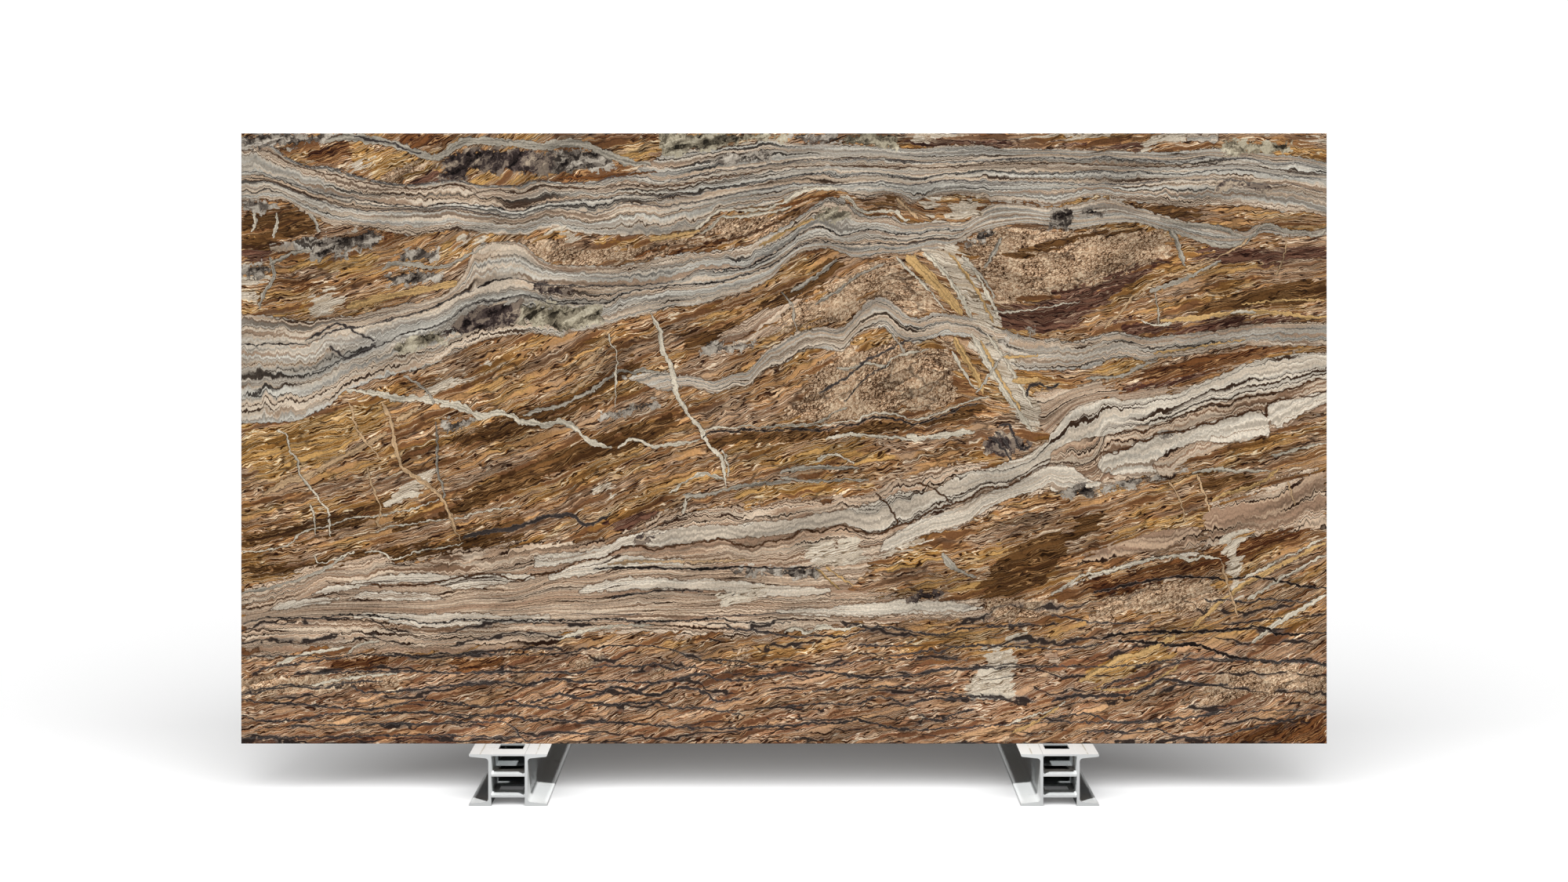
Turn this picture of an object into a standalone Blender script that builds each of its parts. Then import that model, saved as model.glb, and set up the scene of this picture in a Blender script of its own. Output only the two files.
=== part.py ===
"""A polished marble slab that stands on its long edge across two white steel rack rails.

Units are metres and +Z is up. The origin is on the floor, midway between the rails and
midway along them. +X runs along the slab, and the polished face looks towards -Y.
"""

import math

import bmesh
import bpy
from mathutils import Vector

# The slab
SLAB_LENGTH = 3.100
SLAB_HEIGHT = 1.743
SLAB_THICKNESS = 0.020
ARRIS_WIDTH = 0.001
FACE_SETBACK = 0.146  # from the rails' front ends back to the polished face

# The rails, each of two rolled channels set back to back
RAIL_LENGTH = 1.000
RAIL_CENTRE_X = 0.773
CHANNEL_HEIGHT = 0.1453
FLANGE_WIDTH = 0.0625
FLANGE_THICKNESS = 0.0095  # halfway between the web and the flange's edge
FLANGE_TAPER = 0.10
WEB_THICKNESS = 0.008
WEB_GAP = 0.094  # between the backs of a rail's two webs
ROOT_RADIUS = 0.0095
TOE_RADIUS = 0.0045
OUTER_RADIUS = 0.0015
ROOT_STEPS = 4
TOE_STEPS = 3
OUTER_STEPS = 2

# The plates welded between the channels
COVER_THICKNESS = 0.005
SHELF_THICKNESS = 0.0055
MIDDLE_SHELF_BASE = 0.083
LOWER_SHELF_BASE = 0.0245

# The square sockets that take a post, one near each end of a rail
SOCKET_WIDTH = 0.070
SOCKET_INSET = 0.109  # from the rail's end to the socket's centre
CUTTER_HEIGHT = 0.200

# The clearance kept between neighbouring solids
FIT_GAP = 0.0003

RAIL_SIDES = {"left": -1, "right": 1}


def clear_scene():
    """Removes what the scene starts with."""
    for old in list(bpy.data.objects):
        bpy.data.objects.remove(old, do_unlink=True)


def new_collection(name):
    """A new collection in the scene."""
    collection = bpy.data.collections.new(name)
    bpy.context.scene.collection.children.link(collection)
    return collection


def principled(name, colour, roughness, metallic=0.0):
    """A Principled material of one colour."""
    material = bpy.data.materials.new(name)
    material.use_nodes = True
    shader = material.node_tree.nodes["Principled BSDF"]
    shader.inputs["Base Color"].default_value = (*colour, 1.0)
    shader.inputs["Roughness"].default_value = roughness
    shader.inputs["Metallic"].default_value = metallic
    material.diffuse_color = (*colour, 1.0)
    return material


def add_object(name, mesh, collection, material=None, parent=None):
    """An object that holds this mesh, in this collection."""
    piece = bpy.data.objects.new(name, mesh)
    if material is not None:
        mesh.materials.append(material)
    collection.objects.link(piece)
    piece.parent = parent
    return piece


def box(name, size, base_centre, collection, material=None, parent=None):
    """A box of this size, placed by the centre of its underside."""
    shape = bmesh.new()
    bmesh.ops.create_cube(shape, size=1.0)
    bmesh.ops.scale(shape, vec=Vector(size), verts=shape.verts)
    mesh = bpy.data.meshes.new(name)
    shape.to_mesh(mesh)
    shape.free()
    piece = add_object(name, mesh, collection, material, parent)
    x, y, base = base_centre
    piece.location = (x, y, base + size[2] / 2)
    return piece


def rounded_corner(before, corner, after, radius, steps):
    """The points of an arc that rounds one corner of an outline, tangent to both its sides."""
    to_before = (before - corner).normalized()
    to_after = (after - corner).normalized()
    half_angle = to_before.angle(to_after) / 2
    centre = corner + (to_before + to_after).normalized() * radius / math.sin(half_angle)
    start = corner + to_before * radius / math.tan(half_angle) - centre
    end = corner + to_after * radius / math.tan(half_angle) - centre
    sweep = start.angle(end)
    points = []
    for step in range(steps + 1):
        share = step / steps
        blend = start * math.sin((1 - share) * sweep) + end * math.sin(share * sweep)
        points.append(centre + blend / math.sin(sweep))
    return points


def channel_outline():
    """A channel's section: x outwards from the back of the web, y up from the floor."""
    middle = (WEB_THICKNESS + FLANGE_WIDTH) / 2
    at_root = FLANGE_THICKNESS + FLANGE_TAPER * (middle - WEB_THICKNESS)
    at_toe = FLANGE_THICKNESS - FLANGE_TAPER * (FLANGE_WIDTH - middle)
    top = CHANNEL_HEIGHT
    corners = [
        (0.0, 0.0, OUTER_RADIUS, OUTER_STEPS),
        (FLANGE_WIDTH, 0.0, OUTER_RADIUS, OUTER_STEPS),
        (FLANGE_WIDTH, at_toe, TOE_RADIUS, TOE_STEPS),
        (WEB_THICKNESS, at_root, ROOT_RADIUS, ROOT_STEPS),
        (WEB_THICKNESS, top - at_root, ROOT_RADIUS, ROOT_STEPS),
        (FLANGE_WIDTH, top - at_toe, TOE_RADIUS, TOE_STEPS),
        (FLANGE_WIDTH, top, OUTER_RADIUS, OUTER_STEPS),
        (0.0, top, OUTER_RADIUS, OUTER_STEPS),
    ]
    outline = []
    for index, (x, y, radius, steps) in enumerate(corners):
        before = Vector(corners[index - 1][:2])
        after = Vector(corners[(index + 1) % len(corners)][:2])
        outline += rounded_corner(before, Vector((x, y)), after, radius, steps)
    return outline


def extruded_outline(name, outline, length, collection, material, parent):
    """A mesh object made from a filled flat curve, as long as length, centred on the outline."""
    curve = bpy.data.curves.new(name, "CURVE")
    curve.dimensions = "2D"
    curve.fill_mode = "BOTH"
    curve.extrude = length / 2
    spline = curve.splines.new("POLY")
    spline.points.add(len(outline) - 1)
    for point, place in zip(spline.points, outline):
        point.co = (place.x, place.y, 0.0, 1.0)
    spline.use_cyclic_u = True
    guide = bpy.data.objects.new(name + "_outline", curve)
    collection.objects.link(guide)
    graph = bpy.context.evaluated_depsgraph_get()
    mesh = bpy.data.meshes.new_from_object(guide.evaluated_get(graph))
    bpy.data.objects.remove(guide, do_unlink=True)
    shape = bmesh.new()
    shape.from_mesh(mesh)
    bmesh.ops.remove_doubles(shape, verts=shape.verts, dist=1e-6)
    bmesh.ops.recalc_face_normals(shape, faces=shape.faces)
    shape.to_mesh(mesh)
    shape.free()
    mesh.name = name
    mesh.materials.clear()
    return add_object(name, mesh, collection, material, parent)


def cut(piece, cutter):
    """Takes the cutter's shape out of the piece."""
    boolean = piece.modifiers.new("Cut " + cutter.name, "BOOLEAN")
    boolean.operation = "DIFFERENCE"
    boolean.solver = "EXACT"
    boolean.object = cutter


def build_slab(collection, stone):
    """The slab, standing on its long edge on the tops of the rails."""
    face_y = FACE_SETBACK - RAIL_LENGTH / 2
    base = CHANNEL_HEIGHT + FIT_GAP
    centre = (0.0, face_y + SLAB_THICKNESS / 2, base)
    size = (SLAB_LENGTH, SLAB_THICKNESS, SLAB_HEIGHT)
    slab = box("marble_slab", size, centre, collection, stone)
    arris = slab.modifiers.new("Arris", "BEVEL")
    arris.width = ARRIS_WIDTH
    arris.segments = 1
    return slab


def build_channel(name, flange_side, collection, paint, rail):
    """One channel of a rail, with its flanges on the side that flange_side gives along X."""
    outline = []
    for point in channel_outline():
        x = flange_side * (WEB_GAP / 2 + point.x)
        outline.append(Vector((x, point.y)))
    channel = extruded_outline(name, outline, RAIL_LENGTH, collection, paint, rail)
    channel.rotation_euler = (math.radians(90), 0.0, 0.0)
    return channel


def build_plates(side, collection, paint, rail):
    """The cover plate, flush with the tops of the channels, and the two shelves below it."""
    width = WEB_GAP - 2 * FIT_GAP
    plates = {
        "cover_plate": (COVER_THICKNESS, CHANNEL_HEIGHT - COVER_THICKNESS),
        "middle_shelf": (SHELF_THICKNESS, MIDDLE_SHELF_BASE),
        "lower_shelf": (SHELF_THICKNESS, LOWER_SHELF_BASE),
    }
    made = []
    for label, (thickness, base) in plates.items():
        name = f"{side}_rail_{label}"
        size = (width, RAIL_LENGTH, thickness)
        made.append(box(name, size, (0.0, 0.0, base), collection, paint, rail))
    return made


def build_socket_cutters(side, cutters, rail):
    """The two square cutters that open a rail's sockets through all its plates."""
    size = (SOCKET_WIDTH, SOCKET_WIDTH, CUTTER_HEIGHT)
    reach = RAIL_LENGTH / 2 - SOCKET_INSET
    made = []
    for end, y in (("front", -reach), ("rear", reach)):
        name = f"{side}_{end}_socket_cutter"
        cutter = box(name, size, (0.0, y, -FIT_GAP), cutters, parent=rail)
        cutter.hide_render = True
        cutter.display_type = "WIRE"
        made.append(cutter)
    return made


def build_rail(side, direction, collection, cutters, paint):
    """One rail: two channels, three plates and the sockets through them."""
    rail = bpy.data.objects.new(f"{side}_rail", None)
    rail.location = (direction * RAIL_CENTRE_X, 0.0, 0.0)
    collection.objects.link(rail)
    outer_name = f"{side}_rail_outer_channel"
    inner_name = f"{side}_rail_inner_channel"
    build_channel(outer_name, direction, collection, paint, rail)
    build_channel(inner_name, -direction, collection, paint, rail)
    plates = build_plates(side, collection, paint, rail)
    for cutter in build_socket_cutters(side, cutters, rail):
        for plate in plates:
            cut(plate, cutter)


def main():
    """Builds the slab and its two rails."""
    clear_scene()
    parts = new_collection("marble_slab_on_rails")
    cutters = new_collection("cutters")
    stone = principled("banded_brown_marble", (0.36, 0.22, 0.12), 0.18)
    paint = principled("white_paint", (0.80, 0.82, 0.82), 0.45)
    build_slab(parts, stone)
    for side, direction in RAIL_SIDES.items():
        build_rail(side, direction, parts, cutters, paint)


main()
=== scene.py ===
"""The looks of a polished slab of banded marble that stands on two white steel rack rails.

Places on the slab's face are in centimetres from its lower left corner, x to the right and z up.
Everything else is in metres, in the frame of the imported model.
"""

import logging
import math
from dataclasses import dataclass
from enum import Enum, auto
from itertools import product

import bpy
import numpy as np
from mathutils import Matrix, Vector

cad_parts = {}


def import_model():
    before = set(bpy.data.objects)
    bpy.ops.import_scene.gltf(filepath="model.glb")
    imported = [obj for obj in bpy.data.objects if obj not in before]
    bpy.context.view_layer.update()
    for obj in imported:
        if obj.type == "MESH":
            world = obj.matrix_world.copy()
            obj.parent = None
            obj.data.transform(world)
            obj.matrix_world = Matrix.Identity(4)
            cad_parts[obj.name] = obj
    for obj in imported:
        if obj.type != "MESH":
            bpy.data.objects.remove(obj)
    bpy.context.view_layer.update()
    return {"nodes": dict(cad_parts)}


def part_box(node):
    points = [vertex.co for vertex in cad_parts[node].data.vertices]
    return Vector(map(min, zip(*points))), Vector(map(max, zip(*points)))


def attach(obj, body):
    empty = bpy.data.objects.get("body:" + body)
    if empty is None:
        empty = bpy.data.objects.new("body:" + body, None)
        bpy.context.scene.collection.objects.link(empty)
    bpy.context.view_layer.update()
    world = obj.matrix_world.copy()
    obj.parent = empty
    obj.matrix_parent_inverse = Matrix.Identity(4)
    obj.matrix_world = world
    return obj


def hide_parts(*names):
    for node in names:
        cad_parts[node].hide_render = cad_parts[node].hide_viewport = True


LOG = logging.getLogger("slab_on_rails")

CM = 0.01


class Kind(Enum):
    """The kinds of stone in the slab. Each has its own patches, colours and pattern."""

    GREY = auto()
    CREAM = auto()
    PALE = auto()
    OLIVE = auto()
    MOTTLED = auto()
    SMOKY = auto()
    OCHRE = auto()
    TAN = auto()
    UMBER = auto()
    MAROON = auto()
    RUST = auto()
    PINK = auto()


class Tint(Enum):
    """The colours of seams and veins, by their place on the vein colour ramp."""

    BLACK = 0.0
    SLATE = 0.14
    BROWN = 0.28
    RUST = 0.42
    OCHRE = 0.56
    TAN = 0.70
    GREY = 0.84
    WHITE = 1.0


# The kinds of stone in the order in which they cover each other, three to an attribute of the skin
TRIOS = (
    (Kind.OCHRE, Kind.TAN, Kind.UMBER),
    (Kind.MAROON, Kind.RUST, Kind.PINK),
    (Kind.GREY, Kind.CREAM, Kind.PALE),
    (Kind.OLIVE, Kind.MOTTLED, Kind.SMOKY),
)

VEIN_COLOURS = {
    Tint.BLACK: "#2a211d",
    Tint.SLATE: "#453d3a",
    Tint.BROWN: "#573823",
    Tint.RUST: "#7d4c26",
    Tint.OCHRE: "#c09c68",
    Tint.TAN: "#b99a76",
    Tint.GREY: "#a39a8b",
    Tint.WHITE: "#c6bba7",
}

# Five colours of each kind, from its darkest twelfth to its lightest
KIND_COLOURS = {
    Kind.GREY: ("#51463d", "#837769", "#968b7e", "#a3998b", "#b8afa1"),
    Kind.CREAM: ("#4a3527", "#96806b", "#b2a28f", "#c0b3a1", "#d0c5b4"),
    Kind.PALE: ("#806d57", "#a7957e", "#bbab96", "#c9bca8", "#d9cebd"),
    Kind.OLIVE: ("#40392d", "#6d6453", "#877d69", "#9f957f", "#bdb39c"),
    Kind.MOTTLED: ("#2b2320", "#4d443d", "#71675d", "#958b7e", "#b8aea0"),
    Kind.SMOKY: ("#1f1817", "#392e2b", "#524541", "#736459", "#a99883"),
    Kind.OCHRE: ("#452812", "#8c6231", "#a97b42", "#bf955b", "#e0cba5"),
    Kind.TAN: ("#4a3121", "#8b6a4e", "#a98869", "#bb9f82", "#d2bc9e"),
    Kind.UMBER: ("#34200f", "#52351c", "#644425", "#74502d", "#a07b52"),
    Kind.MAROON: ("#351d17", "#533227", "#674334", "#7b5644", "#a28871"),
    Kind.RUST: ("#331810", "#4f2c1a", "#673e23", "#835430", "#b58a5d"),
    Kind.PINK: ("#3a251a", "#7a5e48", "#997c65", "#b0947a", "#c9b59e"),
}
WARM_GREY = ("#4d382a", "#846b57", "#a0866e", "#b0987f", "#c8b7a2")
COOL_GREY = ("#3d3a37", "#77736c", "#918d85", "#a39f96", "#bfbbb0")
BROWN_COLOURS = ("#351c11", "#7a5233", "#9a6e47", "#b4885a", "#dfcaab")
CLAY_COLOURS = ("#3a231a", "#83573e", "#a37656", "#bb9473", "#e0cbb0")
RAMP_PLACES = (0.06, 0.30, 0.50, 0.70, 0.94)

# The tones that follow each other through a pattern, as shares of the way from dark to light
STREAKS = (0.30, 0.62, 0.02, 0.50, 0.98, 0.34, 0.04, 0.78, 0.46, 0.03, 0.70)
LAMINAE = (0.50, 0.72, 0.03, 0.84, 0.58, 0.92, 0.05, 0.80, 0.34, 0.90, 0.64, 0.04, 0.76, 0.94, 0.46)
CORES = (0.62, 0.90, 0.04, 0.80, 0.96, 0.50, 0.86, 0.70, 0.93, 0.34, 0.88)
TONES = (0.0, 0.25, 0.5, 0.75, 1.0)
LINE_TONES = (0.2, 0.965)

# Bedding planes from the top of the slab to its foot: each name, and the plane traced over the full width.
# In this and the other tables, a line that starts with a space goes on with the row before.
BEDDING = """
branch 0 180 25 176 30 174.5 35 173.5 40 173 45 171.5 50 170 55 169.5 60 171 65 173.5 70 173.8 80 173.5
 90 172.5 97 174 103 170.8 110 171 120 169 130 170 140 171 150 172.5 157 171.5 170 171 180 171 190 170
 200 170.5 210 171 220 170 230 170 240 169.5 250 169.5 260 169 270 169.5 280 170 290 169 300 168 310 166
a0 0 172.3 4 171.6 8 171.2 11 168.8 14 166.8 17 165.6 20 164.8 24 164.8 28 163.8 33 162 38 160.8 43 159.9
 48 159.6 52 159.9 57 160.7 62 161 66 159.8 70 159.2 78 159.3 80 159.2 82 160.5 84 160.9 88 160.6 92 160
 97 160.3 102 160.4 105 161.8 110 162 115 161.8 119 160.8 123 161 130 162.5 135 163.5 140 164 148 165 157 166
 160 166.8 168 166.8 175 167 183 167 190 166.5 196 166 210 166.5 220 167 231 167.5 240 166.8 246 167.8
 252 167 258 167 262 166.3 270 166.3 276 167.5 280 167 286 167.3 291 166.5 296 165.3 301 166 306 165 310 164
a1 0 169.6 5 169.6 9 168.8 13 166.2 17 164.8 20 163.9 24 163 28 162 32 160.8 36 160.2 40 159.3 46 158.8
 50 158.3 54 158.6 58 159.6 62 159.8 66 158 68 157.6 72 158.3 76 158 80 157.4 83 158.6 86 159.5 90 158.9
 95 158.9 100 158.5 105 159 109 160 114 159.5 120 159.2 127 160 133 161.2 140 162.3 148 163.5 157 164.6
 166 165 177 165 188 164.8 200 164.5 213 165.5 231 165.8 250 165.2 262 164.7 273 165 285 165.6 297 163.9
 310 162.5
a2 0 166.3 6 166.3 10 164.6 14 162.8 18 161.4 22 160.2 27 159 32 157.5 37 156.9 42 156.6 48 156.8 52 156.2
 57 156.8 62 156.6 67 156 72 156 77 155.2 82 155.8 87 157 93 157.3 100 157 105 157.4 110 158.3 116 158
 121 157.7 127 158.4 133 159.6 140 160.6 148 162 157 163.3 166 164 177 164 188 163.4 200 163.6 213 164.7
 231 164.4 250 164.2 262 163.8 273 164.2 285 164.8 297 163 310 161.7
a3 0 163.2 5 163.4 9 162 13 160.7 17 159.3 20 158 24 157.2 28 156.3 33 155.4 38 154.9 42 154 47 153.9
 52 153.2 57 154.2 62 154.4 67 153.7 72 153.3 77 152.3 80 152.2 83 153.4 87 154.4 92 154.9 97 155.4 104 155.4
 109 156.8 116 156.6 121 156.4 125 157.2 130 156.8 134 158.2 140 158.9 145 159.7 150 160.8 157 162 160 162.6
 166 162.9 171 161.9 177 163 183 162.6 188 162 194 161.3 200 162.6 207 163 213 163.9 220 163 228 162.9
 236 163 247 163.7 251 163 256 163.6 261 162.9 268 162.6 273 163.3 280 163.8 286 164 291 163.2 297 162
 304 161.6 310 160.8
a4 0 160.5 8 160.3 13 158.5 18 156.5 23 154.8 28 153.4 33 152.6 38 152.2 42 152.5 52 152.5 62 152.8 67 151.8
 72 151.3 77 150.3 80 150.3 83 151.3 87 152.6 92 152.9 97 152.2 101 151.2 105 152.5 109 154.2 115 154
 121 153.3 126 154.3 131 155 136 156 141 157.2 146 158 151 158.8 157 159.7 163 160 170 159.7 177 160.2
 184 160.4 191 159.6 197 160.4 203 161 212 160.4 231 160.3 240 159.7 248 159.9 255 160 262 160.8 268 161.3
 275 161 282 161.2 288 160.3 294 159.6 300 159.9 305 158.4 310 157.3
a5 0 157 10 157.2 14 155.8 18 154 22 152.3 26 150.8 31 150.6 36 149.8 50 149.5 60 149.6 70 149 75 148.3
 80 148.6 84 149.7 88 150.4 92 150 96 149.3 101 148.6 105 149.6 109 151 115 151.2 120 150.6 125 151.6
 130 152.6 135 154 140 155.6 146 156.3 151 156.8 157 158 163 159.1 170 158.5 175 158 180 158.5 186 158
 190 156.8 194 156 199 158 205 158.9 213 158.3 231 158.6 247 159 252 158 258 157.6 264 158.2 270 157.6
 276 158.3 283 157.5 289 157.6 295 156 300 156 305 154.8 310 153.3
a6 0 155.2 5 155 10 155.2 14 154.5 18 152 22 150.2 26 148.3 30 148.3 35 147.6 40 146.8 44 146 48 145.5
 51 145.2 55 146.2 60 146.7 65 146.5 70 145.9 80 145.3 84 146.5 88 147.5 92 147 96 146 101 145.5 105 145.3
 118 145.3 124 146.3 129 146.7 133 149 137 152 141 153 147 153.5 152 154.3 157 156.8 160 158.3 166 159.3
 170 158.7 174 157 178 155.8 182 156.3 186 157 189 156 191 154 195 156 200 156.6 205 157 210 156.5 215 155
 218 155 225 155 231 153.5 236 154.5 240 156 246 156.8 251 155.5 257 154.8 263 154.3 270 153.3 276 154.3
 282 153.9 288 153.6 294 152.7 300 152 305 151.8 310 150.8
b0 0 122.8 6 122.5 12 121.5 17 120.8 20 120.5 24 121.5 28 122 32 122 37 123.3 42 124.6 47 125.5 52 126.3
 57 127.8 60 129.8 64 135 66 141 70 143 75 143.5 80 143 83 140.5 86 138 90 136.7 95 136.5 105 136.5 110 136.8
 115 137.5 119 139 124 139.8 130 140.2 136 141 141 141.3 146 143 150 145 154 147 157 148.6 160 151 164 154
 168 156 170 156.3 173 155 176 152 180 150.5 185 151 188 149.5 190 148.5 200 149.5 205 148.7 210 151 214 154
 218 154.5 225 154 231 153 240 154.5 246 155.8 250 155 256 152.8 262 151.3 266 150.2 270 149 280 147.8
 287 146 290 148 293 148.8 297 147 300 146.3 305 146.4 310 147.5
b3 0 114 10 114.2 18 114 24 117 28 118.5 35 119 42 121 50 123 57 125.5 62 128 68 130.5 71 132 77 133 80 132.8
 83 131.5 90 131 105 130.8 115 131 125 132.5 128 134 130 135 135 135.3 140 135.5 145 136 148 138 152 140
 157 143.5 160 146 163 147.3 166 148 169 146.2 172 145 176 146.5 181 147 185 146 190 145.5 195 146 200 146.8
 204 146.6 207 147.3 210 149 214 151 218 151.8 225 151.5 231 150.8 240 151.5 248 152.5 256 151 264 149
 270 147.8 280 145.5 287 145 293 147.3 300 145.8 310 146.5
b5 0 106 10 105.8 20 106 26 108.5 32 111 38 113 45 116.5 50 118 55 119 58 120.5 61 122 64 124.5 67 126
 70 126.5 73 126.3 77 127.7 80 128.3 83 127.8 86 126.5 90 125.5 95 125.8 105 125.8 108 128 113 129.5 118 130
 123 131 129 131 135 131.7 141 133 147 135 152 137 157 140.5 160 142.5 165 143.5 170 143 175 142.5 181 143
 186 142.5 192 143 198 144.5 204 144 210 147.2 215 148.8 220 149.5 225 150 231 149.3 240 149.3 248 150.2
 255 150 264 147.7 276 144.5 287 144.3 292 146.6 300 145.4 310 146
b6 0 91.5 8 91.5 12 92 16 92.5 20 94 24 95.5 27 98 29 100.8 33 102 38 104 44 105.5 49 106.5 55 108.5 60 111.5
 66 114 72 116 80 117 84 117.5 88 116.5 91 116 95 117.5 100 118.5 105 120 110 121.5 115 122.5 119 123.5
 123 124.8 129 125.3 134 126.5 139 128 144 129.3 148 131 152 133.3 155 137 157 138.7 160 140.5 164 141.2
 168 141.5 171 140.5 175 139 180 139 183 139.8 190 140 195 141 200 141 203 142 206 144 210 146.5 215 147.5
 220 148.3 225 148.8 231 147.9 236 147 242 147.8 248 148.8 255 149 260 148 264 146.6 268 145.5 276 143
 280 142 284 142 288 144 292 146 300 145 310 145.5
e0 0 84 30 90 60 93 90 97 110 103 120 106.3 125 105 131 104.7 134 103.5 137 104 140 105.5 145 106.5 147 109
 150 112 153 114 157 116.5 160 118 165 119 170 118.5 173 120 176 123 179 126 181 127.5 184 127.3 186 126
 188 124 190 122.5 194 121.5 198 123 201 123 206 122 210 121.5 215 119 220 117.5 225 116 230 115.5 235 115
 240 115.2 245 116.5 250 117.8 253 117 260 115.8 265 116.6 270 117.2 280 118.2 290 119.9 300 120.3 310 120.3
e1 0 80 30 84 60 87 90 90 110 97 126 102 130 101.3 133 101 135 100 138 100.8 141 102.5 144 101.5 146 103
 148 105.5 151 107.5 154 108 157 110 160 112 164 113 168 113 172 112 173 113.5 175 116 178 118 181 119
 184 119 186 117 190 115 194 114.8 198 116 203 116.5 208 116 212 113 216 110 220 107.5 225 106.5 230 106.8
 235 106.8 240 107 243 107.6 247 109 250 110.3 255 110.2 258 109.2 262 110 270 111 280 112.4 290 113.7
 300 113.6 310 114
lip 0 58 30 62 60 68 80 74 100 80 115 84 131 87.5 134 89.5 137 90 141 89.5 144 90.5 148 89.8 157 90.2
 167 90.2 171 91.5 176 91.5 178 93 181 93.8 187 93.3 192 91.8 197 93 201 94.5 206 96.5 211 98 214 98.3 222 95
 228 92 231 93 237 97.5 245 99.5 260 101 275 105.5 290 110.8 310 112.8
c0 0 37 8 38.5 17 42 20 44 24 46 34 46 38 47.5 42 48.5 54 48.5 60 48 66 48.5 72 49.5 77 50.5 82 52 88 52
 94 53 99 54 104 55 107 57.5 110 59.5 114 61 118 63 121 65 125 66.5 130 67.5 143 67.5 150 68.5 157 69.5
 166 70 172 71 178 70.5 183 72 187 75.3 192 75 198 77 203 79 208 80 212 80 216 79.5 220 80.5 225 81.5 228 84
 231 88 234 91 237 95 240 96.5 245 98 249 99 252 97.5 255 98 259 99 264 99.5 268 100 272 102 276 104
 280 105.5 285 108 290 109.5 296 111 302 111.5 310 111.5
c2 0 36 10 38 24 45.5 32 45.2 36 45.6 40 45 50 45.3 55 45.8 58 46.5 62 47.5 66 48 72 48.5 79 46.5 83 48 90 49
 94 51 99 52.5 103 53 107 55 110 56.3 115 56.2 118 55.3 122 56 127 57 134 57.7 137 58.5 143 56.5 146 56
 150 57.5 157 58.5 160 61 165 60.5 168 61.5 172 62.3 175 61 178 60 183 60 187 62 192 63.5 196 66 200 67.5
 204 68.5 208 70 212 73 216 73 219 73.5 222 75 225 77 228 79 233 80 240 80 244 82 247 88 251 88.8 255 89.5
 258 89 260 90.5 265 91.5 267 93 273 95.5 277 97 282 96.5 284 98 287 99 292 99.5 297 100.5 302 102 306 103.8
 310 104.5
c6 0 35 10 37 20 40 45 40.5 58 41 65 42.5 77 43 84 45 90 47 101 47 106 48.5 110 49.3 115 49.8 120 50 125 49.5
 130 49.3 140 50 157 49.5 162 50.5 172 51.5 178 52 183 53 187 55 192 57.5 198 59 205 61 208 62 212 66 216 68
 219 70 222 70.5 227 71 231 74 234 72.5 243 72 248 73.3 252 75.5 265 76 267 78 270 80 274 82 278 84 282 85
 287 86.5 295 87.5 299 90 303 93 307 95.5 310 97
foot5 0 34 7 35.5 28 36.3 43 35.8 54 34.3 64 35.3 96 35 124 35 157 34.8 180 33.5 210 33 226 34 245 34.5
 260 34.2 290 36 310 38
foot4 0 25 18 25 28 24.3 50 25 77 25.3 100 27.3 120 27.5 130 24 144 23.2 157 23.7 187 24 208 24 231 26
 250 29.3 268 30 290 31 310 31
foot3 0 18 20 20 52 20.5 80 20.5 100 21 130 21 166 20.5 200 20.5 225 22 250 22 270 24 290 23.7 310 22.8
foot2 0 12.5 22 14 50 12.5 80 12 107 13.5 143 11 176 12 200 12.5 231 12 250 13.7 264 18.3 282 16.5 310 15
foot1 0 7 27 8.5 64 7.5 100 6 133 4.3 160 5.5 194 4 231 6 260 6 284 9 310 9.5
"""

# Which way the foliation of the brown stone runs: x, z and the angle in degrees, rising to the right
FOLIATION = """
20 168 20 40 167 25 55 166 30 75 166 60 110 166 5 150 170 0 200 170 -3 250 170 0 300 169 -5 10 148 3 10 140 0
 10 126 3 30 138 5 45 133 12 55 140 25 40 127 15 25 125 20 65 142 30 95 143 -5 110 140 3 130 142 5 148 150 20
 160 154 25 175 153 0 190 152 -35 205 153 0 220 150 0 280 152 -10 300 149 -15 230 140 15 250 140 15
 215 140 10 240 122 12 270 126 25 290 132 28 300 140 20 250 130 25 270 119 8 300 123 5 205 125 -60
 213 115 -65 222 98 -60 196 136 -45 208 110 -72 165 130 36 180 130 36 150 122 36 135 122 33 120 115 38
 100 107 43 85 100 35 70 104 30 50 100 30 60 90 33 110 95 35 130 96 35 150 100 38 170 100 38 190 105 40
 200 102 35 75 88 30 95 88 30 5 85 20 20 88 22 10 74 22 30 78 27 45 85 30 50 72 28 65 78 30 0 60 6 20 62 8
 40 62 8 60 66 10 80 72 18 100 74 20 120 78 12 140 76 8 160 80 5 180 82 3 200 84 8 10 50 6 30 52 8 60 52 5
 90 58 15 100 68 28 130 90 8 160 88 2 190 90 3 215 92 15 215 50 20 225 56 28 212 44 5 240 62 28 255 64 28
 270 68 14 290 66 14 305 70 12 270 50 22 290 50 38 305 45 38 240 50 22 240 42 5 265 40 8 290 36 36 270 32 30
 20 38 3 60 38 2 110 45 5 150 44 0 180 45 3 50 30 8 100 30 5 150 30 6 200 36 3 20 22 22 50 22 25 80 22 28
 110 24 30 140 20 30 170 22 28 200 22 30 20 10 12 50 12 20 80 8 28 110 10 30 140 12 30 170 8 32 200 12 32
 230 18 38 250 22 38 275 22 38 300 18 36 240 8 36 270 10 36 300 5 32 170 2 25 100 2 20 40 3 15
"""

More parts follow.
